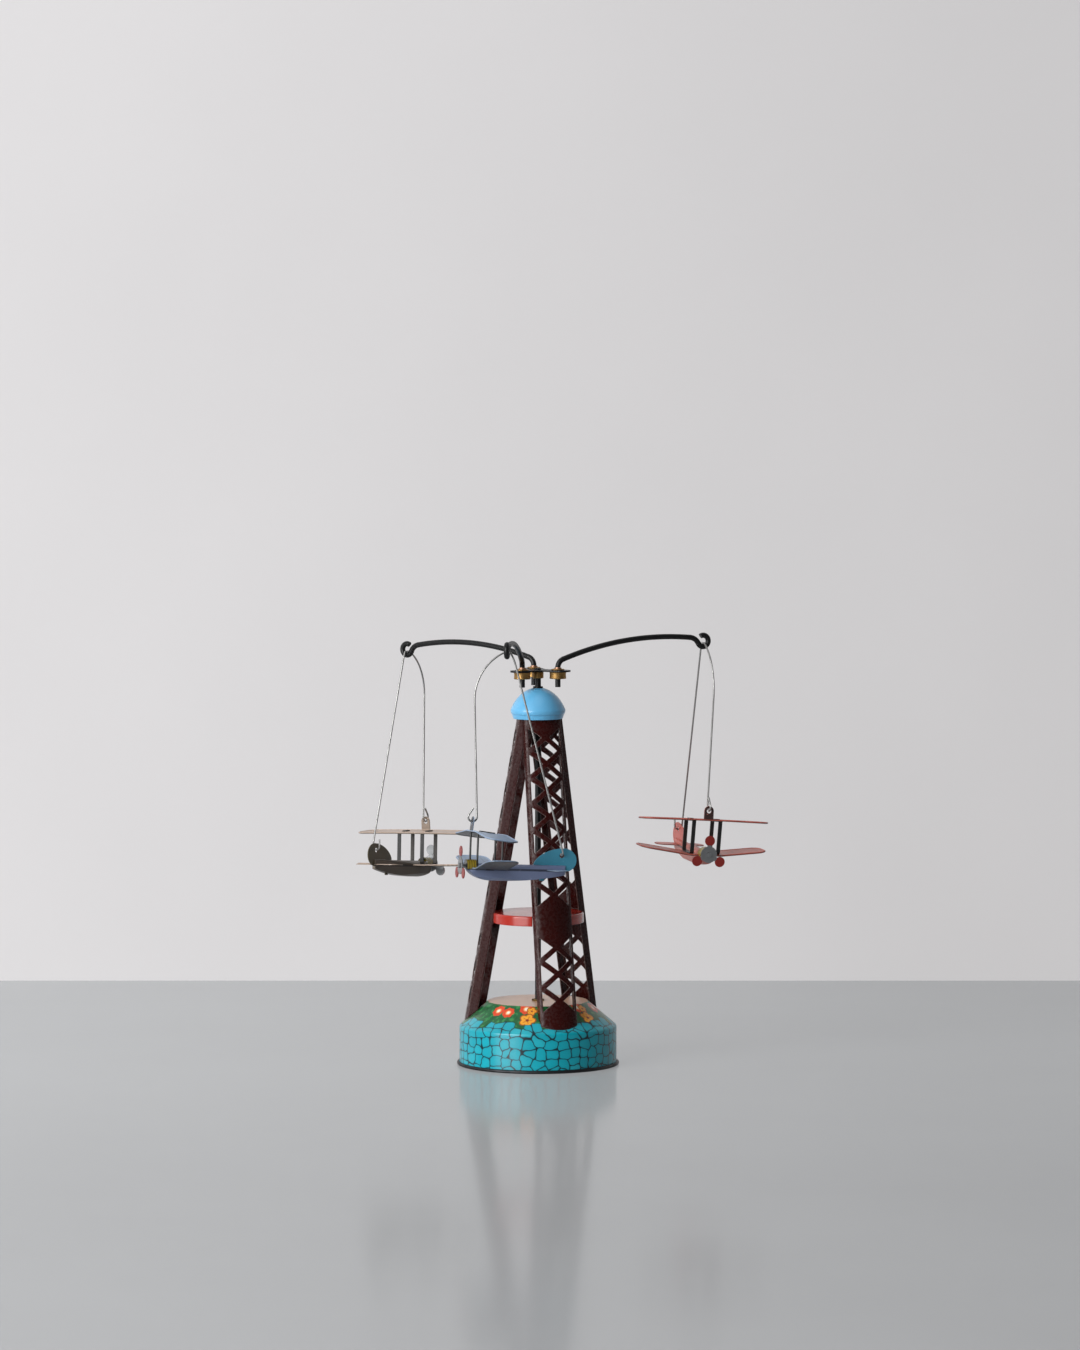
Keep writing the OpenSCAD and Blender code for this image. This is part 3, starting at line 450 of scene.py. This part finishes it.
def plane_matrix(name):
    """The biplane's own frame, in millimetres: x to its nose, y to its left wing, z up."""
    forward = Vector(JOINTS[name + "_propeller_spin"]["axis"]).normalized()
    rise = Vector(JOINTS[name + "_biplane_rock"]["axis"])
    left = rise.cross(forward).normalized()
    up = forward.cross(left)
    turn = Matrix((forward, left, up)).transposed()
    tab = Vector(JOINTS[name + "_biplane_rock"]["pos_m"]) / MM
    return Matrix.Translation(tab - turn @ NOSE_TAB) @ turn.to_4x4()


def plane_place(finish, name):
    """Object coordinates and normal turned into the biplane's own frame."""
    back = plane_matrix(name).inverted()
    turn = back.to_euler("XYZ")
    place = finish.node("Mapping", {"vector_type": "POINT"},
                        {"Vector": finish.node("TexCoord", out="Object"), "Location": back.to_translation(),
                         "Rotation": turn, "Scale": (1 / MM,) * 3})
    normal = finish.node("Mapping", {"vector_type": "VECTOR"},
                         {"Vector": finish.node("TexCoord", out="Normal"), "Rotation": turn})
    return place, normal


def rib_print(finish, x, y):
    """Printed ribs across a wing and the line of its flaps."""
    gap = 4.2
    along = abs(finish.math("MODULO", abs(y) + gap / 2, gap) - gap / 2)
    rib = finish.ramp(along, 0.3, 0.12) * (abs(y) < 31.0)
    flap = finish.ramp(abs(x + 4.6), 0.32, 0.14) * (abs(y) < 29.0) * (abs(y) > 12.0)
    return rib * 0.3 + flap * 0.55


def plane_enamel(label, name, colour, under=None, edge=0.55, seam=False):
    """Thin painted tin. A colour for its underside makes it a wing, with printed ribs and side edges
    darkened, partly as wear and partly as painted shade.
    """
    finish = Finish(label, coat_weight=0.2, coat_roughness=0.15, ior=1.5)
    place, normal = plane_place(finish, name)
    x, y, z = finish.split(place)
    face = finish.split(normal)
    cloud = finish.noise(place, 6.0, 3.0)
    grain = finish.noise(place, 0.5, 2.0)
    chips = finish.ramp(finish.noise(place, 1.6, 6.0), 0.66, 0.7)
    art, wear_and_side_shade = opaque(colour), chips
    if under is not None:
        below = finish.ramp(face[2], 0.3, -0.3) + finish.ramp(face[0], 0.5, 0.8) * (z > TAB_FOOT)
        art = finish.mix(finish.math("MINIMUM", below, 1.0), art, opaque(under))
        # On a wing, the side faces of the sheet and of its hems are darkened: partly worn cut edges, partly
        # painted shade
        wear_and_side_shade = finish.ramp(abs(face[2]), 0.5, 0.3) * (z < TAB_FOOT)
    art = finish.mix(cloud * 0.14 + grain * 0.16, art, darker(colour, 0.3))
    if under is not None:
        ribs = rib_print(finish, x, y) * finish.ramp(face[2], 0.3, 0.8)
        art = finish.mix(ribs, art, darker(colour, 0.45))
    if seam:
        art = finish.mix(finish.ramp(abs(z), 0.7, 0.4) * 0.85, art, darker(colour, 0.1))
    art = finish.mix(chips * 0.4, art, paler(colour, 1.4, 0.12))
    art = finish.mix(wear_and_side_shade * edge * finish.ramp(cloud, 0.3, 0.6), art, darker(colour, 0.4))
    return finish.paint(art, 0.34 + 0.18 * cloud + 0.1 * chips, grain + cloud, 0.02, fold=0.15)


def strut_finish(name):
    """Strip that is black on its outer faces and bare where it was the back of the sheet."""
    finish = Finish(name.title() + " struts", coat_weight=0.15, coat_roughness=0.2)
    place, normal = plane_place(finish, name)
    x, y, z = finish.split(place)
    face = finish.split(normal)
    foot, middle, top, rise = 0.3, 8.8, 17.1, 0.105
    inward = finish.ramp(face[0] * x * 0.16 + face[2] * (z - middle) * 0.12, 0.15, -0.15)
    inner = inward * (z > foot) * ((z - rise * x) < top) * finish.ramp(abs(face[1]), 0.6, 0.4)
    cloud = finish.noise(place, 1.5, 3.0)
    art = finish.mix(inner, opaque(colours().black), opaque(srgb(60, 57, 54)))
    art = finish.mix(finish.ramp(cloud, 0.55, 0.75) * 0.4, art, opaque(srgb(60, 54, 50)))
    return finish.paint(art, 0.36 + 0.2 * cloud, cloud, 0.02, inner * 0.4, 0.15)


def propeller_finish(name):
    """Bare tin with tips that are painted on the front."""
    tints = colours()
    finish = Finish(name.title() + " propeller", coat_weight=0.1, coat_roughness=0.2)
    place, normal = plane_place(finish, name)
    x, y, z = finish.split(place)
    axis_height, tip_start = 1.3, 4.7
    height = z - axis_height
    away = finish.math("SQRT", y * y + height * height)
    cloud = finish.noise(place, 1.2, 3.0)
    front = finish.ramp(finish.split(normal)[0], -0.6, -0.2)
    tip = finish.ramp(away + 0.3 * cloud, tip_start, tip_start + 0.3) * front
    swirl = finish.noise(finish.vector(away * 3.0, 0.0, 0.0), 0.7, 2.0)
    art = finish.mix(swirl * 0.5 + cloud * 0.2, opaque(tints.tin), darker(tints.tin, 0.35))
    art = finish.mix(tip, art, opaque(tints.propeller))
    return finish.paint(art, 0.36 + 0.15 * cloud, cloud, 0.02, 0.9 - 0.9 * tip)


def cowl_finish(name):
    """Gold print on the cowl's sides and a dark face behind the propeller."""
    tints = colours()
    finish = Finish(name.title() + " cowl", coat_weight=0.4, coat_roughness=0.1)
    place, normal = plane_place(finish, name)
    x = finish.split(place)[0]
    front = finish.ramp(finish.split(normal)[0], 0.4, 0.7)
    gap = 1.2
    band = finish.ramp(abs(finish.math("MODULO", x, gap) - gap / 2), 0.1, 0.22)
    cloud = finish.noise(place, 1.6, 3.0)
    art = finish.mix(1 - band, opaque(tints.gold), darker(tints.gold, 0.3))
    art = finish.mix(front, art, opaque(tints.black))
    art = finish.mix(cloud * 0.25, art, opaque(srgb(40, 34, 16)))
    return finish.paint(art, 0.25 + 0.15 * cloud, cloud, 0.02)


def wire_finish(name):
    """Black wire of an arm, with a copper collar where it leaves its eyelet."""
    tints = colours()
    finish = Finish(name.title() + " arm", coat_weight=0.08, coat_roughness=0.15, specular_ior_level=0.3)
    place = finish.place()
    x, y, z = finish.split(place)
    shank = Vector(JOINTS[name + "_arm_swivel"]["pos_m"]) / MM
    aside, beyond = x - shank.x, y - shank.y
    away = finish.math("SQRT", aside * aside + beyond * beyond)
    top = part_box("eyelets")[1].z / MM
    wire, wide = 1.5, 2.2
    collar = (away > wire) * (away < wide) * (z < top + 1.0) + (away < wide) * (abs(z - top - 0.4) < 0.5)
    collar = finish.math("MINIMUM", collar, 1.0)
    cloud = finish.noise(place, 3.0, 3.0)
    grain = finish.noise(place, 0.5, 2.0)
    art = finish.mix(finish.ramp(cloud, 0.55, 0.8) * 0.5, opaque(tints.black), opaque(srgb(34, 33, 32)))
    art = finish.mix(collar, art, opaque(tints.copper))
    return finish.paint(art, 0.34 + 0.2 * cloud, grain + cloud, 0.02, collar * 0.9)


def dress(node, material):
    """Gives a CAD node's object one finish."""
    slots = frame["nodes"][node].data.materials
    slots.clear()
    slots.append(material)


def clear_selection():
    if bpy.context.object is not None and bpy.context.object.mode != "OBJECT":
        bpy.ops.object.mode_set(mode="OBJECT")
    bpy.ops.object.select_all(action="DESELECT")


def pick(*pieces):
    """Selects these pieces alone and makes the first the active one."""
    clear_selection()
    for piece in pieces:
        piece.select_set(True)
    bpy.context.view_layer.objects.active = pieces[0]


def trace(name, points):
    """Extrudes a point along a closed line of points in metres, and stays in edit mode."""
    clear_selection()
    bpy.ops.mesh.primitive_circle_add(vertices=3, radius=MM)
    piece = bpy.context.object
    piece.name = piece.data.name = name
    bpy.ops.object.mode_set(mode="EDIT")
    bpy.ops.mesh.select_all(action="SELECT")
    bpy.ops.mesh.merge(type="CENTER")
    bpy.ops.transform.translate(value=points[0])
    for start, end in zip(points, points[1:] + points[:1]):
        bpy.ops.mesh.extrude_region_move(TRANSFORM_OT_translate={"value": end - start})
    bpy.ops.mesh.select_all(action="SELECT")
    return piece


def lathe(name, profile, steps=96):
    """Spins a closed profile of (radius, height) in millimetres round the tower's axis."""
    piece = trace(name, [Vector((radius, 0.0, height)) * MM for radius, height in profile])
    bpy.ops.mesh.spin(steps=steps, angle=2 * math.pi, center=(0, 0, 0), axis=(0, 0, 1))
    bpy.ops.mesh.select_all(action="SELECT")
    bpy.ops.mesh.remove_doubles(threshold=0.002 * MM)
    bpy.ops.mesh.normals_make_consistent(inside=False)
    bpy.ops.object.mode_set(mode="OBJECT")
    bpy.ops.object.shade_smooth_by_angle(angle=math.radians(32))
    return piece


def shift(piece, offset):
    """Moves a piece's mesh, so that its object stays at the origin."""
    pick(piece)
    bpy.ops.object.mode_set(mode="EDIT")
    bpy.ops.mesh.select_all(action="SELECT")
    bpy.ops.transform.translate(value=offset)
    bpy.ops.object.mode_set(mode="OBJECT")


def settle(piece, material, body, slot, *nodes):
    """Gives a new piece its finish and its body, and hides the nodes that it stands for. The slot is not
    used.
    """
    piece.data.materials.clear()
    piece.data.materials.append(material)
    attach(piece, body)
    if nodes:
        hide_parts(*nodes)


def arc(centre, radius, start, end, steps):
    """Points on a circle from one angle to another, in degrees."""
    angles = [math.radians(start + (end - start) * k / steps) for k in range(steps + 1)]
    return [(centre[0] + radius * math.cos(a), centre[1] + radius * math.sin(a)) for a in angles]


class CAROUSEL_OT_stage(bpy.types.Operator):
    """Adds the floor, the wall, the soft light and the camera"""
    bl_idname = "carousel.stage"
    bl_label = "Stage"

    def execute(self, context):
        stage = context.scene.carousel_stage
        context.scene.view_settings.view_transform = "Standard"
        far, high, under = 4.0, 3.0, 0.01
        back = stage.wall_back
        ground = [(x, y, 0.0) for y in (-far, far) for x in (-far, far)]
        behind = [(x, back, z) for z in (-under, high) for x in (-far, far)]
        self.sheet("floor", ground, self.backdrop("Floor", stage.floor, stage.floor_paleness, 0.13))
        self.sheet("wall", behind, self.backdrop("Wall", stage.wall, stage.wall_paleness, 0.32, True))
        self.light("key", (-1.8, -1.8, 0.95), (1.9, 1.9), stage.key)
        self.light("top", (-0.2, -0.6, 2.2), (1.8, 1.6), stage.top)
        self.room(context.scene, stage)
        clear_selection()
        bpy.ops.object.camera_add(location=(stage.camera_aside, -stage.camera_back, stage.camera_height),
                                  rotation=(math.pi / 2 - stage.camera_tilt, 0.0, 0.0))
        camera = context.object
        camera.data.lens = stage.lens
        camera.data.sensor_width = 36.0
        camera.data.clip_end = 50.0
        context.scene.camera = camera
        return {"FINISHED"}

    def sheet(self, name, corners, material):
        """A flat sheet of the stage, with its corners in metres."""
        clear_selection()
        bpy.ops.mesh.primitive_plane_add(size=1.0)
        piece = bpy.context.object
        piece.name = piece.data.name = name
        for vertex, corner in zip(piece.data.vertices, corners):
            vertex.co = corner
        piece.data.materials.append(material)

    def backdrop(self, name, colour, paleness, gloss, one_sided=False):
        """A pale sheet that is seen partly unshaded, also in gloss. One-sided, it is clear from behind."""
        finish = Finish(name, roughness=gloss)
        place = finish.place()
        cloud = finish.noise(place, 160.0, 3.0)
        x, y, z = finish.split(place)
        # Painted shade: the sheet darkens towards the right, and the floor also darkens towards the front,
        # like light falling off
        painted_falloff = finish.ramp(x, -420.0, 420.0) * 0.16
        if not one_sided:
            painted_falloff = painted_falloff + finish.ramp(y, 60.0, -500.0) * 0.1
        tone = finish.mix(cloud * 0.06 + painted_falloff, opaque(colour), BLACK)
        finish.paint(tone)
        plain = finish.node("Emission", None, {"Color": tone})
        glossy = finish.node("LightPath", out="Is Glossy Ray")
        seen = finish.node("LightPath", out="Is Camera Ray") + 0.6 * glossy
        seen = finish.math("MINIMUM", seen, 1.0) * paleness
        shaded = Link(finish, finish.shader.outputs[0])
        shown = finish.node("MixShader", None, {0: seen, 1: shaded, 2: plain})
        if one_sided:
            behind = finish.node("NewGeometry", out="Backfacing")
            shown = finish.node("MixShader", None, {0: behind, 1: shown, 2: finish.node("BsdfTransparent")})
        finish.tree.links.new(shown.socket, finish.tree.nodes["Material Output"].inputs[0])
        return finish.material

    def light(self, name, place, size, watts):
        """A soft rectangle of light that faces the tower."""
        clear_selection()
        aim = (Vector((0, 0, 0.1)) - Vector(place)).to_track_quat("-Z", "Y").to_euler()
        bpy.ops.object.light_add(type="AREA", location=place, rotation=aim)
        lamp = bpy.context.object
        lamp.name = name
        lamp.data.shape = "RECTANGLE"
        lamp.data.size, lamp.data.size_y = size
        lamp.data.energy = watts

    def room(self, scene, stage):
        """Even light from all sides, which the camera sees as a pale room."""
        world = bpy.data.worlds.new("Room")
        scene.world = world
        world.use_nodes = True
        nodes, links = world.node_tree.nodes, world.node_tree.links
        ground = nodes["Background"].inputs
        ground["Color"].default_value = opaque(stage.room)
        paths = nodes.new("ShaderNodeLightPath")
        pale = nodes.new("ShaderNodeMapRange")
        pale.inputs["To Min"].default_value = stage.sky
        pale.inputs["To Max"].default_value = stage.room_paleness
        links.new(paths.outputs["Is Camera Ray"], pale.inputs["Value"])
        links.new(pale.outputs[0], ground["Strength"])


class CAROUSEL_OT_base(bpy.types.Operator):
    """Prints the base and finishes its rim, bush and clockwork"""
    bl_idname = "carousel.base"
    bl_label = "Base"

    def execute(self, context):
        tints = colours()
        pattern = context.scene.carousel_print
        dress("base_shell", printed_base(pattern))
        self.rim(context.scene.carousel_shapes.sheet / MM, pattern.wall_radius / MM + 0.1)
        steel = bare_metal("Plain steel", srgb(150, 150, 152), 0.32)
        brass = bare_metal("Dull brass", tints.brass, 0.36)
        for node in ("motor_plate", "motor_pillars", "arbor"):
            dress(node, steel)
        for node in ("footstep_bearings", "main_wheel", "pinion"):
            dress(node, brass)
        dress("base_bush", bare_metal("Dark brass", darker(tints.brass, 0.4)[:3], 0.46))
        dress("mainspring", bare_metal("Blued spring", srgb(86, 96, 116), 0.3, (8.0, 8.0, 0.4)))
        return {"FINISHED"}

    def rim(self, sheet, wall):
        """The bottom plate, with its edge rolled up round the foot of the wall."""
        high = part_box("bottom_plate")[1]
        edge, roll = high.x / MM, high.z / MM / 2
        outer = arc((edge - roll, roll), roll, -90, 90, 10)
        profile = [(0.0, 0.0)] + outer + [(wall, 2 * roll), (wall, sheet), (0.0, sheet)]
        settle(lathe("crimped_rim", profile, 128), bare_metal("Crimped rim", colours().rim, 0.4),
               "tower", "bare_tin", "bottom_plate")


class CAROUSEL_OT_tower(bpy.types.Operator):
    """Enamels the legs and the shelf and spins the cap"""
    bl_idname = "carousel.tower"
    bl_label = "Tower"

    def execute(self, context):
        tints = colours()
        # The legs' pale edges are partly rubbed wear and partly painted highlight along the folds
        oxblood = enamel("Oxblood enamel", tints.oxblood, gloss=0.08, peel=2.4, mottle=0.3, coat=0.0,
                         fold=0.9, shine=0.26, pebble=1.3, speck=0.3, rub_and_highlight=0.7)
        for node in ("leg_front", "leg_right", "leg_left"):
            dress(node, oxblood)
        dress("shelf", enamel("Orange enamel", tints.orange, gloss=0.14, peel=0.4, mottle=0.1, coat=0.45,
                              fold=0.8))
        sky = enamel("Sky enamel", tints.sky, gloss=0.26, peel=0.6, mottle=0.08, coat=0.35)
        self.dome(context.scene.carousel_shapes, sky)
        self.bowl(context.scene.carousel_shapes, sky)
        return {"FINISHED"}

    def dome(self, shapes, material):
        """The spun dome, with its edge drawn in and its hole for the bearing."""
        low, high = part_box("dome")
        wide, foot = high.x / MM, low.z / MM
        belly, tuck, flare = shapes.dome_belly / MM, shapes.dome_tuck / MM, shapes.dome_flare / MM
        sheet, bore = shapes.sheet / MM, shapes.bore / MM
        fullness = 1.15

        def skin(inset):
            rise = shapes.dome_height / MM - belly - inset
            drum = wide - flare - inset
            steep = math.acos((bore / drum) ** (1 / fullness))
            skirt = [(wide - tuck - inset + tuck * math.sin(b), foot + belly * (1 - math.cos(b)))
                     for b in (math.pi / 2 * k / 8 for k in range(8))]
            crown = [(drum * math.cos(a) ** fullness + flare * (1 - math.sin(a)) ** 3,
                      foot + belly + rise * math.sin(a)) for a in (steep * k / 32 for k in range(33))]
            return skirt + crown

        piece = lathe("spun_dome", skin(0.0) + skin(sheet)[::-1])
        settle(piece, material, "tower", "sky_enamel", "dome")

    def bowl(self, shapes, material):
        """The shallow bowl that closes the dome and grips the legs."""
        low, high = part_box("cap_plate")
        wide, foot, top = high.x / MM, low.z / MM, high.z / MM
        sheet, inside, bore = shapes.sheet / MM, shapes.lip_radius / MM, shapes.bore / MM
        lip, ease = inside + 0.2, 1.15
        side = [(lip + (wide - lip) * k / 8, foot + (top - foot) * (k / 8) ** ease) for k in range(9)]
        profile = [(inside, foot)] + side + [(bore, top), (bore, top - sheet), (inside, top - sheet)]
        settle(lathe("cap_bowl", profile), material, "tower", "sky_enamel", "cap_plate")


class CAROUSEL_OT_rotor(bpy.types.Operator):
    """Turns the eyelets and the hub and finishes the spider, the arms and the slings"""
    bl_idname = "carousel.rotor"
    bl_label = "Rotor"

    def execute(self, context):
        tints = colours()
        black = enamel("Black enamel", tints.black, gloss=0.34, peel=0.8, mottle=0.3, coat=0.1,
                       fold=0.15, shine=0.25)
        for node in ("spider", "spindle", "bearing_tube"):
            dress(node, black)
        slings = bare_metal("Hanger wire", tints.wire, 0.34, (0.3, 0.3, 3.0), 0.2)
        for name in PLANES:
            dress(name + "_arm", wire_finish(name))
            dress(name + "_hanger", slings)
        brass = bpy.data.materials["Dull brass"]
        self.hub(brass)
        self.eyelets(context.scene.carousel_shapes, brass)
        return {"FINISHED"}

    def hub(self, material):
        """The spider's plain turned collar, with rounded edges."""
        low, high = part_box("spider_hub")
        wide, foot, top = high.x / MM, low.z / MM, high.z / MM
        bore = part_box("spindle")[1].x / MM
        edge = 0.4
        profile = [(bore, foot)] + arc((wide - edge, foot + edge), edge, -90, 0, 5)
        profile += arc((wide - edge, top - edge), edge, 0, 90, 5) + [(bore, top)]
        settle(lathe("turned_hub", profile, 48), material, "rotor", "brass", "spider_hub")

    def eyelets(self, shapes, material):
        """Three waisted eyelets, riveted over the spider's plate."""
        under, over = (corner.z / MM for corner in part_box("spider"))
        foot, top = (corner.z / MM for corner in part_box("eyelets"))
        shanks = [Vector(JOINTS[name + "_arm_swivel"]["pos_m"]) * Vector((1, 1, 0)) for name in PLANES]
        wide = (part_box("eyelets")[1].x - max(shank.x for shank in shanks)) / MM
        waist, bore = shapes.eyelet_waist / MM, shapes.eyelet_bore / MM
        chamfer, flange, neck = 0.25, 0.9, 0.35
        drum = [(wide - waist * math.sin(math.pi * k / 12) ** 0.7,
                 foot + chamfer + (under - foot - 2 * chamfer) * k / 12) for k in range(13)]
        head, roll = wide - flange, (top - over) / 2
        profile = [(bore, foot), (wide - chamfer, foot)] + drum + [(wide - chamfer, under)]
        profile += [(head - neck, under), (head - neck, over)]
        profile += arc((head - roll, over + roll), roll, -90, 90, 6) + [(bore, top)]
        made = [lathe("turned_eyelets", profile, 48)]
        shift(made[0], shanks[0])
        for shank in shanks[1:]:
            pick(made[0])
            bpy.ops.object.duplicate()
            made.append(bpy.context.object)
            shift(made[-1], shank - shanks[0])
        pick(*made)
        bpy.ops.object.join()
        settle(made[0], material, "rotor", "brass", "eyelets")


class CAROUSEL_OT_biplanes(bpy.types.Operator):
    """Paints the three biplanes and adds their fin tabs and wing hems"""
    bl_idname = "carousel.biplanes"
    bl_label = "Biplanes"

    def execute(self, context):
        tints = colours()
        shapes = context.scene.carousel_shapes
        # The last number sets how far the wings' side faces darken, partly as wear and partly as painted
        # shade, most on the red biplane
        schemes = {"red": (tints.coral, tints.coral, tints.coral_tail, tints.underside, 0.85),
                   "tan": (tints.tan, tints.olive, tints.olive_tail, tints.olive, 0.3),
                   "blue": (tints.pale_blue, tints.periwinkle, tints.teal, tints.underside, 0.3)}
        tin = bare_metal("Bare tin", tints.tin, 0.36)
        for name, (wing, hull, tail, under, edge) in schemes.items():
            label = name.title()
            wings = plane_enamel(label + " wings", name, wing, under, edge)
            body = plane_enamel(label + " hull", name, hull, seam=True)
            fin = plane_enamel(label + " fin", name, tail)
            for node in ("upper_wing", "lower_wing", "tailplane"):
                dress(f"{name}_{node}", wings)
            for node in ("hull", "deck"):
                dress(f"{name}_{node}", body)
            dress(name + "_fin", fin)
            dress(name + "_struts", strut_finish(name))
            dress(name + "_propeller", propeller_finish(name))
            dress(name + "_cowl", cowl_finish(name))
            dress(name + "_propeller_pin", tin)
            self.fixing_tab(shapes, name, fin)
            self.hems(shapes, name, wings)
        return {"FINISHED"}

    def fixing_tab(self, shapes, name, material):
        """The fin's lower tab, which is bent over under the hull."""
        aft, keel = -28.5, -3.8
        deep = shapes.tab_depth / MM
        clear_selection()
        bpy.ops.mesh.primitive_cube_add(size=1.0)
        piece = bpy.context.object
        piece.name = piece.data.name = name + "_fin_tab"
        bpy.ops.object.mode_set(mode="EDIT")
        bpy.ops.mesh.select_all(action="SELECT")
        bpy.ops.transform.resize(value=(shapes.tab_length / MM, shapes.sheet / MM, deep))
        bpy.ops.transform.translate(value=(aft, 0.0, keel - deep / 2))
        bpy.ops.mesh.bevel(offset=0.18, segments=3)
        bpy.ops.object.mode_set(mode="OBJECT")
        piece.matrix_world = Matrix.Scale(MM, 4) @ plane_matrix(name)
        bpy.ops.object.transform_apply(location=True, rotation=True, scale=True)
        bpy.ops.object.shade_smooth_by_angle(angle=math.radians(32))
        settle(piece, material, name + "_biplane", FIN_SLOTS[name])

    def hems(self, shapes, name, material):
        """The rolled hems round a biplane's two wings."""
        half, deep = shapes.wing_span / MM / 2, shapes.wing_chord / MM / 2
        tip, flat = shapes.wing_tip / MM, shapes.wing_flat / MM
        roll, middle = shapes.hem / MM / 2, shapes.wing_sheet / MM / 2
        outline = []
        for fore, left, start in ((1, 1, 0), (-1, 1, 90), (-1, -1, 180), (1, -1, 270)):
            outline += arc((fore * (deep - tip), left * (half - tip)), tip - roll, start, start + 90, 6)
            if fore * left < 0:
                outline += [(fore * (deep - roll), left * flat), (fore * (deep - roll), -left * flat)]
        lower = Matrix.Translation((-shapes.wing_stagger / MM, 0.0, 0.0))
        upper = Matrix.Translation((0.0, 0.0, shapes.wing_gap / MM))
        upper = upper @ Matrix.Rotation(-shapes.incidence, 4, "Y")
        made = []
        for wing, bend in zip((lower, upper), WING_BENDS[name]):
            climb = math.tan(math.radians(bend))
            edge = [Vector((x, y, middle + max(0.0, abs(y) - flat) * climb)) for x, y in outline]
            place = plane_matrix(name) @ wing
            trace(name + "_wing_hems", [(place @ point) * MM for point in edge])
            bpy.ops.mesh.remove_doubles(threshold=0.002 * MM)
            bpy.ops.object.mode_set(mode="OBJECT")
            bpy.ops.object.convert(target="CURVE")
            bpy.context.object.data.bevel_depth = shapes.hem / 2
            bpy.context.object.data.bevel_resolution = 2
            bpy.ops.object.convert(target="MESH")
            made.append(bpy.context.object)
        pick(*made)
        bpy.ops.object.join()
        bpy.ops.object.shade_smooth()
        settle(made[0], material, name + "_biplane", WING_SLOTS[name])


class CAROUSEL_PT_panel(bpy.types.Panel):
    """Lists the carousel's steps"""
    bl_idname = "CAROUSEL_PT_panel"
    bl_label = "Tin Airplane Carousel"
    bl_space_type = "VIEW_3D"
    bl_region_type = "UI"
    bl_category = "Carousel"

    def draw(self, context):
        for step in STEPS:
            self.layout.operator(step.bl_idname)
        for group in (getattr(context.scene, key) for key in GROUPS):
            box = self.layout.box()
            for key in group.bl_rna.properties.keys():
                if key not in ("rna_type", "name"):
                    box.prop(group, key)


GROUPS = {"carousel_colours": CarouselColours, "carousel_print": CarouselPrint,
          "carousel_shapes": CarouselShapes, "carousel_stage": CarouselStage}
STEPS = (CAROUSEL_OT_stage, CAROUSEL_OT_base, CAROUSEL_OT_tower, CAROUSEL_OT_rotor, CAROUSEL_OT_biplanes)


def register():
    for made in (*GROUPS.values(), *STEPS, CAROUSEL_PT_panel):
        bpy.utils.register_class(made)
    for key, group in GROUPS.items():
        setattr(bpy.types.Scene, key, PointerProperty(type=group))


def unregister():
    for key in GROUPS:
        delattr(bpy.types.Scene, key)
    for made in reversed((*GROUPS.values(), *STEPS, CAROUSEL_PT_panel)):
        bpy.utils.unregister_class(made)


def main():
    register()
    bpy.ops.carousel.stage()
    bpy.ops.carousel.base()
    bpy.ops.carousel.tower()
    bpy.ops.carousel.rotor()
    bpy.ops.carousel.biplanes()


if __name__ == "__main__":
    main()
